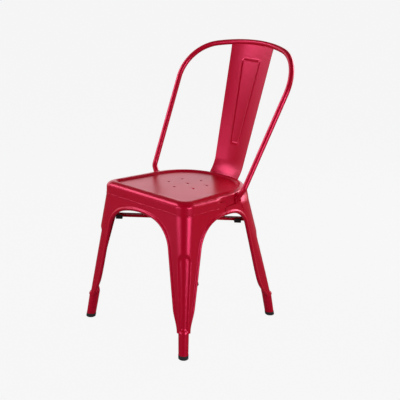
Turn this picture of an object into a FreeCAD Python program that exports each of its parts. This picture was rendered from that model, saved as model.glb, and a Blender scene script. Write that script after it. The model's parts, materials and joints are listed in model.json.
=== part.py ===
import FreeCAD, Part
import math
import os
from FreeCAD import Placement, Rotation, Vector

# Stacking chair pressed from sheet metal, in millimetres.
# The front of the chair looks along -Y, +X is the sitter's left, the floor is z = 0.
# Sizes are measured from the seat's centre hole. The finished pieces are moved along Y
# so that the origin lies on the floor under the middle of the whole chair.

os.makedirs("parts", exist_ok=True)
doc = FreeCAD.newDocument("stacking_chair")
sizes = doc.addObject("Spreadsheet::Sheet", "Sizes")
# Driving sizes in millimetres, each a cell of the sheet under its own name
driving = {
    # Sheet metal, tube and clearances
    "gauge": 1.5,                       # thickness of the pressed sheet
    "seat_gap": 0.2,                    # clearance left where one piece lies against another
    "butt_gap": 0.3,                    # gap at the butt seams between two legs
    "hoop_tube": 16,                    # outside diameter of the back hoop's tube
    "hoop_wall": 1.5,                   # wall of the back hoop's tube

    # Seat
    "rim_height": 440,                  # floor to the top of the seat's rim
    "skirt_depth": 38,                  # rim to the skirt's lower edge
    "seat_half_width": 171.2,           # middle of the seat to the skirt's side
    "seat_front": 189.7,                # centre hole to the skirt's front
    "seat_rear": 166,                   # centre hole to the skirt's rearmost point
    "front_corner": 36.5,               # radius of the skirt's front corners
    "rear_corner": 93,                  # radius of the skirt's rear corners
    "rear_corner_ahead": 111,           # rearmost point forward to the rear corners' centres
    "step_start": 55,                   # centre hole forward to where the skirt steps in
    "step_run": 30,                     # length of the step in the skirt
    "rim_roll": 12,                     # radius rolled over the rim
    "crest_inset": 26.3,                # skirt's side to the inner edge of the rim's crest
    "crest_front_inset": 19.4,          # skirt's front to the inner edge of the crest
    "crest_rear_inset": 8.4,            # skirt's rear to the inner edge of the crest
    "crest_corner": 23.8,               # front corner radius of the crest's inner edge
    "pan_slope": 11,                    # width of the slope from the crest to the pan
    "pan_depth": 6,                     # depth of the pan under the crest
    "drain_circle": 58.4,               # radius of the circle of drain holes
    "drain_bore": 7.5,                  # diameter of a drain hole
    "drain_count": 6,                   # number of drain holes on the circle

    # Front legs
    "front_splay": 42.1,                # skirt's side out to the front leg's corner at the floor
    "front_rake": 25.3,                 # skirt's front forward to that corner
    "tuck_height": 18,                  # height of the front legs' sheet inside the skirt
    "tuck_end": 3,                      # step in the skirt forward to where that sheet ends
    "foot_radius": 14.5,                # corner and tube radius at the floor
    "tube_joint_radius": 15.4,          # corner radius where the closed tube ends
    "tube_joint": 75,                   # floor to where the closed tube ends
    "tube_overlap": 45,                 # length of the closed tube hidden inside the leg
    "tube_inset": 0.5,                  # depth of the closed tube under the corner's face

    # Rear legs
    "rear_splay": 7.8,                  # skirt's side out to the rear leg's corner at the floor
    "rear_rake": 84.5,                  # skirt's rearmost point back to that corner
    "shoulder_corner": 95,              # corner radius at the skirt's lower edge
    "shoulder_ahead": 121.1,            # rearmost point forward to that corner's centre
    "shoulder_height": 26,              # skirt's lower edge to the shoulder's top
    "side_seam": 22,                    # centre hole forward to the seam between the legs
    "pocket_edge_rise": 6.5,            # skirt's lower edge to the pocket's edge at the tube

    # Arches between the legs
    "wide_crown_drop": 20.5,            # skirt down to the crown of the front and rear arches
    "side_crown_drop": 18,              # skirt down to the crown of the side arches
    "wide_crown_radius": 163,           # crown radius of the wide arches
    "wide_shoulder_radius": 102,        # shoulder radius of the wide arches
    "wide_lean": 13.3,                  # lean of the wide arches' edges in degrees
    "side_rear_crown_radius": 100,      # crown radius of the side arch's rear half
    "side_rear_shoulder_radius": 77,    # shoulder radius of that half
    "side_rear_lean": 21.3,             # lean of that half's edge in degrees
    "rear_crown_radius": 120,           # crown radius of the rear arch
    "rear_shoulder_radius": 84,         # shoulder radius of the rear arch
    "crown_turn": 22,                   # turn of each crown arc in degrees
    "flange_end": 125,                  # floor to where the flanges' edges turn in to the tube
    "lip_depth": 9,                     # depth of the lip round each arch

    # Flutes pressed into the legs' corners
    "flute_depth": 4,                   # depth of the flute
    "flute_top": 287,                   # floor to the flute's rounded top
    "flute_top_width": 40,              # width of the flute near its top
    "flute_foot": 78,                   # floor to the flute's lower end
    "flute_foot_width": 26,             # width of the flute at its lower end
    "flute_top_round": 12,              # height of the rounded top
    "flute_foot_round": 8,              # height of the rounded foot

    # Back hoop, along the tube's centreline
    "kink_out": 12.9,                   # skirt's side out to the kink above the seat
    "kink_back": 5.2,                   # tube's lower end back to the kink
    "kink_rise": 9.5,                   # rim up to the kink
    "corner_out": 52.3,                 # skirt's side out to the hoop's unrounded upper corner
    "corner_back": 170.5,               # kink back to that corner
    "corner_rise": 370.7,               # rim up to that corner
    "top_back": 69.5,                   # upper corner back to the top's middle
    "top_rise": 402,                    # rim up to the top's middle
    "hoop_bend": 134.5,                 # radius of the hoop's upper bends
    "kink_bend": 25,                    # radius of the small bends at the seat
    "hoop_end_y": 36,                   # centre hole back to the tube's lower end
    "hoop_drop": 12,                    # length of the tube's upright lower end
    "hoop_end_rise": 1,                 # skirt's lower edge up to the tube's lower end

    # Back splat
    "splat_top_half": 82.4,             # half width at the top
    "splat_low_half": 58.3,             # half width at its lower bend
    "splat_low_back": 29.8,             # skirt's rearmost point back to the splat there
    "splat_low_rise": 40,               # rim up to that bend
    "splat_bow": 300,                   # radius of the splat's bow across its width at the top
    "splat_bend": 120,                  # radius of the forward bend
    "splat_turn": 37,                   # slope under the bend, in degrees from upright
    "splat_heel": 25,                   # radius of the bend down to the tail
    "splat_tail": 22,                   # length of the upright tail
    "emboss_height": 1.2,               # height of the raised outline
    "emboss_width": 7,                  # width of the raised outline
    "emboss_top_half": 27,              # half width of the raised outline at its top
    "emboss_foot_half": 14,             # half width at its foot
    "emboss_top_rise": 352,             # rim up to the raised outline's top
    "emboss_foot_rise": 88,             # rim up to its foot
    "emboss_round": 9.5,                # size of the outline's rounded upper corners
    "emboss_inner_round": 3.2,          # the same on the outline's inner edge

    # Cross brace under the seat
    "brace_drop": 71.5,                 # skirt down to the brace's lower face
    "brace_height": 7.5,                # height of a brace bar
    "brace_width": 20,                  # width of a brace bar
    "brace_middle": 16.5,               # centre hole forward to the crossing
    "brace_tab": 15,                    # height of the plate at a bar's end
    "rivet_shank": 6,                   # diameter of the rivet's shank
    "rivet_head": 12,                   # diameter of the rivet's heads
    "rivet_head_height": 2,             # height of a rivet head
    "spacer_outside": 13,               # outside diameter of the spacer

    # Stacking bumpers and foot caps
    "bumper_from_end": 43,              # end of the bar to a bumper's middle
    "bumper_length": 20,                # length of a bumper along its bar
    "bumper_cheek": 2.6,                # thickness of a bumper's cheeks
    "bumper_pad": 6,                    # height of a bumper under its bar
    "cap_height": 12,                   # height of a foot cap under the tube
    "cap_floor": 4,                     # thickness of a foot cap's floor
    "cap_stem": 22,                     # length of a foot cap's plug inside the tube
    "cap_stem_wall": 2.5,               # wall of the plug
    "cap_edge": 1.5,                    # chamfer round a foot cap's lower edge
}
for line, (alias, number) in enumerate(driving.items(), 1):
    sizes.set("A%d" % line, alias.replace("_", " "))
    sizes.set("B%d" % line, str(number))
    sizes.setAlias("B%d" % line, alias)
doc.recompute()


def val(alias):
    return float(sizes.get(alias))


gauge = val("gauge")
seat_gap = val("seat_gap")
tuck = gauge + seat_gap
skirt_bottom = val("rim_height") - val("skirt_depth")
recess = val("hoop_tube") + gauge + 2 * seat_gap
recess_x = val("seat_half_width") - recess
front_foot_x = val("seat_half_width") + val("front_splay")
front_foot_y = val("seat_front") + val("front_rake")
rear_foot_x = val("seat_half_width") + val("rear_splay")
rear_foot_y = val("seat_rear") + val("rear_rake")
rear_corner_y = val("seat_rear") - val("rear_corner_ahead")
shoulder_y = val("seat_rear") - val("shoulder_ahead")
brace_bottom = skirt_bottom - val("brace_drop")
rivet_bore = (val("rivet_shank") + seat_gap) / 2
kink = Vector(val("seat_half_width") + val("kink_out"), val("hoop_end_y") + val("kink_back"),
              val("rim_height") + val("kink_rise"))
hoop_corner = Vector(val("seat_half_width") + val("corner_out"), kink.y + val("corner_back"),
                     val("rim_height") + val("corner_rise"))
hoop_top = Vector(0, hoop_corner.y + val("top_back"), val("rim_height") + val("top_rise"))
splat_low = Vector(0, val("seat_rear") + val("splat_low_back"), val("rim_height") + val("splat_low_rise"))
origin_y = (hoop_top.y + val("hoop_tube") / 2 - front_foot_y) / 2
to_origin = Placement(Vector(0, -origin_y, 0), Rotation())
far = 600         # a length that runs past the whole chair
overrun = 20      # how far a cutting shape passes the ends of what it cuts
beyond = 1        # the same where little room is left


def polar(centre, radius, degrees):
    """The point at an angle on a circle in the XY plane."""
    a = math.radians(degrees)
    return Vector(centre[0] + radius * math.cos(a), centre[1] + radius * math.sin(a), 0)


def swing(centre, radius, start, end):
    """Start, middle and end of an arc between two angles."""
    return [polar(centre, radius, angle) for angle in (start, (start + end) / 2, end)]


def chain(pieces):
    """Edges from a list of points: two make a line, three an arc through its middle."""
    edges = []
    for piece in pieces:
        if len(piece) == 2:
            edges.append(Part.LineSegment(piece[0], piece[1]).toShape())
        else:
            edges.append(Part.Arc(piece[0], piece[1], piece[2]).toShape())
    return edges


def mirrored(pieces):
    """The same chain on the other side of the middle plane, in reverse order."""
    out = []
    for piece in reversed(pieces):
        out.append([Vector(-p.x, p.y, p.z) for p in reversed(piece)])
    return out


def rear_arc(corner_x, corner_y, corner_radius, apex):
    """Centre height and radius of the arc that joins two corner arcs at the rear."""
    rise = apex - corner_y
    radius = (corner_x ** 2 + rise ** 2 - corner_radius ** 2) / (2 * (rise - corner_radius))
    return apex - radius, radius


def body(label):
    made = doc.addObject("PartDesign::Body", label)
    made.Label = label
    return made


def sketch_on(owner, name, plane, offset=None):
    """A sketch on one of the body's own origin planes."""
    sketch = owner.newObject("Sketcher::SketchObject", name)
    face = [f for f in owner.Origin.OriginFeatures if f.Role == plane][0]
    sketch.AttachmentSupport = [(face, "")]
    sketch.MapMode = "FlatFace"
    if offset is not None:
        sketch.setExpression("AttachmentOffset.Base.z", offset)
    return sketch


def draw(sketch, pieces):
    """Puts a closed chain of lines and arcs into a sketch."""
    for piece in pieces:
        if len(piece) == 2:
            sketch.addGeometry(Part.LineSegment(piece[0], piece[1]), False)
        else:
            arc = Part.Arc(piece[0], piece[1], piece[2])
            sketch.addGeometry(arc, False)


def feature(label, shape):
    """A piece whose shape comes straight from geometry, in its final place."""
    made = doc.addObject("Part::Feature", label)
    made.Label = label
    made.Shape = shape
    made.Placement = to_origin.multiply(shape.Placement)
    return made


def other_side(label, source):
    """The mirror image of a piece across the middle plane."""
    made = doc.addObject("Part::Mirroring", label)
    made.Label = label
    made.Source = source
    made.Base = Vector(0, 0, 0)
    made.Normal = Vector(1, 0, 0)
    return made


# Seat pan
def skirt_outline(inset):
    """Right half of the skirt's outline and the arc over its rear, moved in by inset."""
    side = val("seat_half_width")
    front = -val("seat_front")
    corner = val("front_corner")
    step_from = -val("step_start")
    step_to = step_from + val("step_run")
    bend = (val("step_run") ** 2 + recess ** 2) / (4 * recess)
    turn = math.degrees(math.asin(val("step_run") / 2 / bend))
    corner_centre = (side - corner, front + corner)
    out_centre = (side - bend, step_from)
    in_centre = (recess_x + bend, step_to)
    rear_radius = val("rear_corner")
    rear_centre = (recess_x - rear_radius, rear_corner_y)
    arc_y, arc_radius = rear_arc(rear_centre[0], rear_centre[1], rear_radius, val("seat_rear"))
    end = math.degrees(math.atan2(rear_centre[1] - arc_y, rear_centre[0]))
    half = [
        [Vector(0, front + inset, 0), Vector(corner_centre[0], front + inset, 0)],
        swing(corner_centre, corner - inset, -90, 0),
        [Vector(side - inset, corner_centre[1], 0), Vector(side - inset, step_from, 0)],
        swing(out_centre, bend - inset, 0, turn),
        swing(in_centre, bend + inset, 180 + turn, 180),
        [Vector(recess_x - inset, step_to, 0), Vector(recess_x - inset, rear_centre[1], 0)],
        swing(rear_centre, rear_radius - inset, 0, end),
    ]
    return half, swing((0, arc_y), arc_radius - inset, end, 180 - end)


def crest_outline(inset):
    """The same for the crest's inner edge, moved in by inset."""
    side = val("seat_half_width") - val("crest_inset")
    front = -val("seat_front") + val("crest_front_inset")
    corner = val("crest_corner")
    corner_centre = (side - corner, front + corner)
    rear_centre = (recess_x - val("rear_corner"), rear_corner_y)
    rear_radius = side - rear_centre[0]
    apex = val("seat_rear") - val("crest_rear_inset")
    arc_y, arc_radius = rear_arc(rear_centre[0], rear_centre[1], rear_radius, apex)
    end = math.degrees(math.atan2(rear_centre[1] - arc_y, rear_centre[0]))
    half = [
        [Vector(0, front + inset, 0), Vector(corner_centre[0], front + inset, 0)],
        swing(corner_centre, corner - inset, -90, 0),
        [Vector(side - inset, corner_centre[1], 0), Vector(side - inset, rear_centre[1], 0)],
        swing(rear_centre, rear_radius - inset, 0, end),
    ]
    return half, swing((0, arc_y), arc_radius - inset, end, 180 - end)


def closed(outline):
    """The whole closed chain from a right half and the arc over the rear."""
    half, over = outline
    front = [Vector(-half[0][1].x, half[0][1].y, 0), half[0][1]]
    return [front] + half[1:] + [over] + mirrored(half[1:])


def seat_block(seat, name, inset, drop, pan_grown):
    """Block with a rolled top edge and a hollow for the pan; inset and drop move its faces in."""
    outline = sketch_on(seat, name + "Outline", "XY_Plane", "Sizes.rim_height - Sizes.skirt_depth")
    draw(outline, closed(skirt_outline(inset)))
    block = seat.newObject("PartDesign::Pad", name + "Block")
    block.Profile = outline
    block.setExpression("Length", "Sizes.skirt_depth - %s" % drop)
    doc.recompute()
    top = max(v.Z for v in block.Shape.Vertexes)
    rim = [n for n, e in enumerate(block.Shape.Edges, 1) if e.BoundBox.ZMin > top - 0.01]
    roll = seat.newObject("PartDesign::Fillet", name + "Roll")
    roll.Base = (block, ["Edge%d" % n for n in rim])
    roll.setExpression("Radius", "Sizes.rim_roll - %s" % drop)
    doc.recompute()
    slope = val("pan_slope") / val("pan_depth")
    crest = sketch_on(seat, name + "Crest", "XY_Plane", "Sizes.rim_height + %g" % beyond)
    draw(crest, closed(crest_outline(-pan_grown - beyond * slope)))
    floor = sketch_on(seat, name + "Floor", "XY_Plane", "Sizes.rim_height - Sizes.pan_depth - %s" % drop)
    draw(floor, closed(crest_outline(val("pan_slope") - pan_grown + inset * slope)))
    hollow = seat.newObject("PartDesign::SubtractiveLoft", name + "Pan")
    hollow.Profile = crest
    hollow.Sections = [floor]
    hollow.Ruled = True
    doc.recompute()
    return hollow


def seat_pan():
    """Pressed seat: the block's sheet wall, open below, with its drain holes."""
    inside = body("SeatInside")
    slope_length = math.hypot(val("pan_slope"), val("pan_depth"))
    seat_block(inside, "Inside", gauge, "Sizes.gauge", gauge * slope_length / val("pan_depth"))
    seat = body("seat_pan")
    seat_block(seat, "Skirt", 0, "0", 0)
    hollowed = seat.newObject("PartDesign::Boolean", "SheetWall")
    hollowed.setObjects([inside])
    hollowed.Type = "Cut"
    doc.recompute()
    bore = val("drain_bore") / 2
    up = Vector(0, 0, 1)
    centre = sketch_on(seat, "CentreDrain", "XY_Plane", "Sizes.rim_height")
    centre.addGeometry(Part.Circle(Vector(0, 0, 0), up, bore), False)
    centre_hole = seat.newObject("PartDesign::Pocket", "CentreDrainHole")
    centre_hole.Profile = centre
    centre_hole.setExpression("Length", "2 * Sizes.pan_depth")
    drain = sketch_on(seat, "CircleDrain", "XY_Plane", "Sizes.rim_height")
    drain.addGeometry(Part.Circle(Vector(0, val("drain_circle"), 0), up, bore), False)
    hole = seat.newObject("PartDesign::Pocket", "CircleDrainHole")
    hole.Profile = drain
    hole.setExpression("Length", "2 * Sizes.pan_depth")
    doc.recompute()
    ring = seat.newObject("PartDesign::PolarPattern", "DrainHoles")
    ring.Originals = [hole]
    ring.Axis = (drain, ["N_Axis"])
    ring.Angle = 360
    ring.setExpression("Occurrences", "Sizes.drain_count")
    seat.Tip = ring
    seat.Placement = to_origin
    doc.recompute()
    return seat


# Legs
def along(z, top, foot):
    """A value that runs straight from the skirt's lower edge to the floor."""
    return foot + (top - foot) * z / skirt_bottom


def radius_at(z, top_radius):
    """Corner radius: one taper down to the tube's joint, another to the floor."""
    joint = val("tube_joint")
    if z <= joint:
        return val("foot_radius") + (val("tube_joint_radius") - val("foot_radius")) * z / joint
    rise = (z - joint) / (skirt_bottom - joint)
    return val("tube_joint_radius") + (top_radius - val("tube_joint_radius")) * rise


def front_level(z):
    """Side, front and corner radius of the front leg's outer face at a height."""
    held = min(z, skirt_bottom)
    side = along(held, val("seat_half_width") - tuck, front_foot_x)
    front = along(held, val("seat_front") - tuck, front_foot_y)
    radius = radius_at(held, val("front_corner") - tuck)
    return {"z": z, "side": side, "corner": front - radius, "radius": radius, "apex": None}


def rear_level(z):
    """The same for the rear leg, whose top follows the seat's rounded rear."""
    top = skirt_bottom + val("shoulder_height")
    wide = {"side": val("seat_half_width"), "corner": shoulder_y,
            "radius": val("shoulder_corner"), "apex": val("seat_rear") + tuck}
    hug = {"side": recess_x + tuck, "corner": rear_corner_y,
           "radius": val("rear_corner") + tuck, "apex": val("seat_rear") + tuck}
    if z >= skirt_bottom:
        lift = (z - skirt_bottom) / (top - skirt_bottom)
        found = {key: wide[key] + (hug[key] - wide[key]) * lift for key in wide}
        found["z"] = z
        return found
    side = along(z, val("seat_half_width"), rear_foot_x)
    radius = radius_at(z, val("shoulder_corner"))
    rear = along(z, shoulder_y + val("shoulder_corner"), rear_foot_y)
    return {"z": z, "side": side, "corner": rear - radius, "radius": radius, "apex": None}


def section(level, way, inset, end_x, end_v):
    """Closed outline of the space a leg's sheet bends round, at one height.

    way is -1 for a front leg and 1 for a rear leg. inset moves the sheet's face inwards.
    end_x and end_v are where the two flanges end."""
    side = level["side"] - inset
    radius = level["radius"] - inset
    centre = (level["side"] - level["radius"], level["corner"])
    z = level["z"]
    if level["apex"] is None:
        turn = 90.0
        last = Vector(end_x, centre[1] + radius, 0)
    else:
        arc_v, arc_radius = rear_arc(centre[0], centre[1], level["radius"], level["apex"])
        turn = math.degrees(math.atan2(centre[1] - arc_v, centre[0]))
        reach = arc_radius - inset
        last = Vector(end_x, arc_v + math.sqrt(reach ** 2 - end_x ** 2), 0)
    pieces = [
        [Vector(side, end_v, 0), Vector(side, centre[1], 0)],
        [polar(centre, radius, 0), polar(centre, radius, turn / 2), polar(centre, radius, turn)],
    ]
    if level["apex"] is None:
        pieces.append([polar(centre, radius, turn), last])
    else:
        middle_turn = (turn + math.degrees(math.atan2(last.y - arc_v, end_x))) / 2
        pieces.append([polar(centre, radius, turn), polar((0, arc_v), reach, middle_turn), last])
    pieces.append([last, Vector(end_x, end_v, 0)])
    pieces.append([Vector(end_x, end_v, 0), Vector(side, end_v, 0)])
    placed = [[Vector(p.x, way * p.y, z) for p in piece] for piece in pieces]
    return Part.Wire(chain(placed))


def wedge(leg, inset, extra):
    """Solid that fills the space inside a leg's face; extra runs past its ends."""
    end_x = val("butt_gap") / 2 - extra
    end_v = leg["end_v"] - extra
    heights = [val("cap_height") - extra / 2, val("tube_joint"), skirt_bottom, leg["top"] + extra / 2]
    wires = [section(leg["level"](z), leg["way"], inset, end_x, end_v) for z in heights]
    return Part.makeLoft(wires, True, True)


def arch_half(crown, crown_radius, shoulder_radius, lean, axis_joint, axis_floor, way, grow):
    """Half of an arch's outline from its crown down, grown outwards by grow."""
    turn = val("crown_turn")
    first = crown_radius + grow
    second = shoulder_radius + grow
    top = (0, crown - crown_radius)
    sine = math.sin(math.radians(turn))
    cosine = math.cos(math.radians(turn))
    shift = crown_radius - shoulder_radius
    shoulder = (shift * sine, top[1] + shift * cosine)
    p = [polar(top, first, 90), polar(top, first, 90 - turn / 2), polar(top, first, 90 - turn)]
    q = [p[2], polar(shoulder, second, (90 - turn + lean) / 2), polar(shoulder, second, lean)]
    end = val("flange_end")
    slope = math.tan(math.radians(lean))
    low = Vector(q[2].x + (q[2].y - end) * slope, end, 0)
    joint = Vector(axis_joint, val("tube_joint"), 0)
    floor = Vector(axis_floor, 0, 0)
    pieces = [p, q, [q[2], low], [low, joint], [joint, floor]]
    return [[Vector(way * a.x, 0, a.y) for a in piece] for piece in pieces]


def arch_prism(first, second, across, near, depth):
    """Solid through an arch. across is the axis that the arch spans, X or Y."""
    up = [[b for b in reversed(piece)] for piece in reversed(second)]
    floor = [first[-1][-1], up[0][0]]
    pieces = up + first + [floor]
    if across == "X":
        placed = [[Vector(a.x, near, a.z) for a in piece] for piece in pieces]
        push = Vector(0, depth, 0)
    else:
        placed = [[Vector(near, a.x, a.z) for a in piece] for piece in pieces]
        push = Vector(depth, 0, 0)
    return Part.Face(Part.Wire(chain(placed))).extrude(push)


def tube_axis(leg, z):
    """Centre of the leg's corner at a height, as x and y."""
    at = leg["level"](z)
    return at["side"] - at["radius"], leg["way"] * at["corner"]


def flange_reach(leg, z):
    """Where the flanges' edges meet the closed tube, as x and distance along Y."""
    at = leg["level"](z)
    past = at["radius"] - gauge
    return at["side"] - at["radius"] - past, at["corner"] - past


def cross_arch(leg, grow):
    """The arch across the chair's width that a leg borders."""
    joint = flange_reach(leg, val("tube_joint"))[0]
    floor = flange_reach(leg, 0)[0]
    if leg["way"] < 0:
        radii = (val("wide_crown_radius"), val("wide_shoulder_radius"))
        near = -far
    else:
        radii = (val("rear_crown_radius"), val("rear_shoulder_radius"))
        near = rear_corner_y
    halves = []
    for way in (1, -1):
        crown = skirt_bottom - val("wide_crown_drop")
        half = arch_half(crown, radii[0], radii[1], val("wide_lean"), joint, floor, way, grow)
        halves.append(half)
    depth = far - val("step_start") if leg["way"] < 0 else far
    return arch_prism(halves[0], halves[1], "X", near, depth)


def side_arch(grow):
    """The arch between a front and a rear leg."""
    front_joint = flange_reach(front_leg_form, val("tube_joint"))[1]
    front_floor = flange_reach(front_leg_form, 0)[1]
    rear_joint = flange_reach(rear_leg_form, val("tube_joint"))[1]
    rear_floor = flange_reach(rear_leg_form, 0)[1]
    crown = skirt_bottom - val("side_crown_drop")
    front = arch_half(crown, val("wide_crown_radius"), val("wide_shoulder_radius"),
                      val("wide_lean"), front_joint, front_floor, -1, grow)
    rear = arch_half(crown, val("side_rear_crown_radius"), val("side_rear_shoulder_radius"),
                     val("side_rear_lean"), rear_joint, rear_floor, 1, grow)
    return arch_prism(rear, front, "Y", recess_x - val("rim_roll"), far)


def flute_prism(leg, grow):
    """Finger shape pressed into the corner, along the corner's diagonal."""
    way = leg["way"]
    outward = Vector(1, way, 0).normalize()
    tangent = Vector(1, -way, 0).normalize()
    top = val("flute_top") + grow
    foot = val("flute_foot") - grow
    top_half = val("flute_top_width") / 2 + grow
    foot_half = val("flute_foot_width") / 2 + grow

    def at(z, offset):
        x, y = tube_axis(leg, z)
        centre = Vector(x, y, z) + outward * (leg["level"](z)["radius"] + val("flute_depth"))
        middle = centre.dot(tangent)
        diagonal = Vector(front_foot_x, way * front_foot_y, 0).dot(outward)
        flat = outward * diagonal + tangent * (middle + offset)
        return Vector(flat.x, flat.y, z)

    shoulder = top - val("flute_top_round")
    heel = foot + val("flute_foot_round")
    pieces = [
        [at(shoulder, -top_half), at(top, 0), at(shoulder, top_half)],
        [at(shoulder, top_half), at(heel, foot_half)],
        [at(heel, foot_half), at(foot, 0), at(heel, -foot_half)],
        [at(heel, -foot_half), at(shoulder, -top_half)],
    ]
    return Part.Face(Part.Wire(chain(pieces))).extrude(outward * -val("seat_half_width"))


def closed_tube(leg, low, high, outside, inside):
    """Ring between two heights; outside and inside are set in from the corner's face.

    Above the joint the tube keeps its radius and stays against the leg's corner."""
    joint = val("tube_joint")

    def ring(z, inset):
        x, y = tube_axis(leg, z)
        full = leg["level"](z)["radius"]
        radius = min(full, val("tube_joint_radius"))
        shift = (full - radius) / math.sqrt(2)
        centre = Vector(x + shift, y + leg["way"] * shift, z)
        return Part.Wire([Part.Circle(centre, Vector(0, 0, 1), radius - inset).toShape()])

    def stack(inset, bottom, top):
        if top <= joint:
            return Part.makeLoft([ring(bottom, inset), ring(top, inset)], True, True)
        return Part.makeLoft([ring(bottom, inset), ring(joint, inset), ring(top, inset)], True, True)

    outer = stack(outside, low, high)
    if inside is None:
        return outer
    return outer.cut(stack(inside, low - beyond, high + beyond))


def slab(low, high, y_from=-far, y_to=far):
    """A wide block between two heights."""
    block = Part.makeBox(2 * far, y_to - y_from, high - low)
    block.translate(Vector(-far, y_from, low))
    return block


def leg_shell(leg):
    """One pressed leg: a tapered corner with two flanges, lips, flute and foot tube."""
    outer = wedge(leg, 0, 0)
    inner = wedge(leg, gauge, overrun)
    flute = flute_prism(leg, 0).cut(wedge(leg, val("flute_depth"), overrun))
    flute_back = flute_prism(leg, gauge).cut(wedge(leg, val("flute_depth") + gauge, overrun))
    sheet = outer.cut(flute).cut(inner.cut(flute_back))
    deep = outer.cut(wedge(leg, val("lip_depth"), overrun))
    across = cross_arch(leg, 0)
    beside = side_arch(0)
    above = slab(val("flange_end"), far)
    lips = cross_arch(leg, gauge).cut(across).common(deep).common(above)
    side_lips = side_arch(gauge).cut(beside).common(deep).common(above)
    sheet = sheet.cut(across).cut(beside)
    top = val("tube_joint") + val("tube_overlap")
    inset = val("tube_inset")
    tube = closed_tube(leg, val("cap_height"), top, inset, inset + gauge).cut(flute)
    shell = sheet.fuse([lips, side_lips, tube])
    return shell.removeSplitter()


front_leg_form = {"way": -1, "level": front_level, "end_v": val("side_seam") + val("butt_gap") / 2,
                  "top": skirt_bottom + val("tuck_height")}
rear_leg_form = {"way": 1, "level": rear_level, "end_v": -val("side_seam") + val("butt_gap") / 2,
                 "top": skirt_bottom + val("shoulder_height")}


def front_left_leg():
    shell = leg_shell(front_leg_form)
    start = -val("step_start") - val("tuck_end")
    over = slab(skirt_bottom - seat_gap, far, start, far)
    return feature("front_left_leg", shell.cut(over))


def rear_left_leg(hoop_path):
    shell = leg_shell(rear_leg_form)
    tube = val("hoop_tube") / 2
    edge = skirt_bottom + val("pocket_edge_rise")
    top = skirt_bottom + val("shoulder_height")
    tube_y = val("hoop_end_y")
    outline = [Vector(0, -far, skirt_bottom), Vector(0, -val("side_seam"), skirt_bottom),
               Vector(0, tube_y - tube / 2, edge), Vector(0, tube_y + tube, top),
               Vector(0, tube_y + tube, top + tube), Vector(0, -far, top + tube)]
    outline.append(outline[0])
    over = Part.Face(Part.makePolygon(outline)).extrude(Vector(far, 0, 0))
    notch = pipe(hoop_path, tube + seat_gap)
    seat = Part.Face(Part.Wire(chain(closed(skirt_outline(-seat_gap)))))
    seat.translate(Vector(0, 0, skirt_bottom - seat_gap))
    seat = seat.extrude(Vector(0, 0, val("skirt_depth")))
    return feature("rear_left_leg", shell.cut(over).cut(notch).cut(seat))


# Back hoop
def rounded(before, at, after, radius):
    """Start, middle and end of the arc that rounds a path's corner."""
    back = (before - at).normalize()
    ahead = (after - at).normalize()
    half = back.getAngle(ahead) / 2
    reach = radius / math.tan(half)
    bisector = (back + ahead).normalize()
    middle = at + bisector * (radius / math.sin(half) - radius)
    return at + back * reach, middle, at + ahead * reach


def hoop_half():
    """Left half of the hoop's centreline, from the tube's lower end to the top's middle."""
    end_x = recess_x + seat_gap + val("hoop_tube") / 2
    end = Vector(end_x, val("hoop_end_y"), skirt_bottom + val("hoop_end_rise"))
    low = end + Vector(0, 0, val("hoop_drop"))
    corner = hoop_corner
    top = hoop_top
    across = Vector(1, 0, 0)
    down = Vector(0, corner.y - top.y, corner.z - top.z).normalize()
    # The turn of the top's arc is found by halving steps: it has to end where the bend begins
    angle = 0.4
    for _ in range(60):
        leaving = across * math.cos(angle) + down * math.sin(angle)
        turn = leaving.getAngle(kink - corner)
        arc_end = corner - leaving * (val("hoop_bend") * math.tan(turn / 2))
        away = arc_end - top
        angle = (angle + 2 * math.atan2(away.dot(down), away.dot(across))) / 2
    radius = away.dot(across) / math.sin(angle)
    half = angle / 2
    middle = top + across * (radius * math.sin(half)) + down * (radius * (1 - math.cos(half)))
    first = rounded(end, low, kink, val("kink_bend"))
    second = rounded(low, kink, corner, val("kink_bend"))
    third = rounded(kink, corner, arc_end, val("hoop_bend"))
    return [
        [end, first[0]],
        list(first),
        [first[2], second[0]],
        list(second),
        [second[2], third[0]],
        list(third),
        [third[2], middle, top],
    ]


def bar_along(piece, radius):
    """Round bar along one line, or turned about the middle of one arc."""
    if len(piece) == 2:
        run = piece[1] - piece[0]
        return Part.makeCylinder(radius, run.Length, piece[0], run)
    arc = chain([piece])[0]
    ahead = arc.tangentAt(arc.FirstParameter)
    disc = Part.Face(Part.Wire([Part.Circle(piece[0], ahead, radius).toShape()]))
    turn = math.degrees(arc.LastParameter - arc.FirstParameter)
    return disc.revolve(arc.Curve.Center, arc.Curve.Axis, turn)


def pipe(pieces, radius):
    """Round solid along a chain of lines and arcs."""
    bars = [bar_along(piece, radius) for piece in pieces]
    return bars[0].fuse(bars[1:])


def back_hoop():
    """Bent tube: lengths of ring section, one half joined to its mirror image."""
    path = hoop_half()
    outside = val("hoop_tube") / 2
    inside = outside - val("hoop_wall")
    lengths = [bar_along(piece, outside).cut(bar_along(piece, inside)) for piece in path]
    lengths += [length.mirror(Vector(0, 0, 0), Vector(1, 0, 0)) for length in lengths]
    return feature("back_hoop", lengths[0].fuse(lengths[1:]).removeSplitter())


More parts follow.
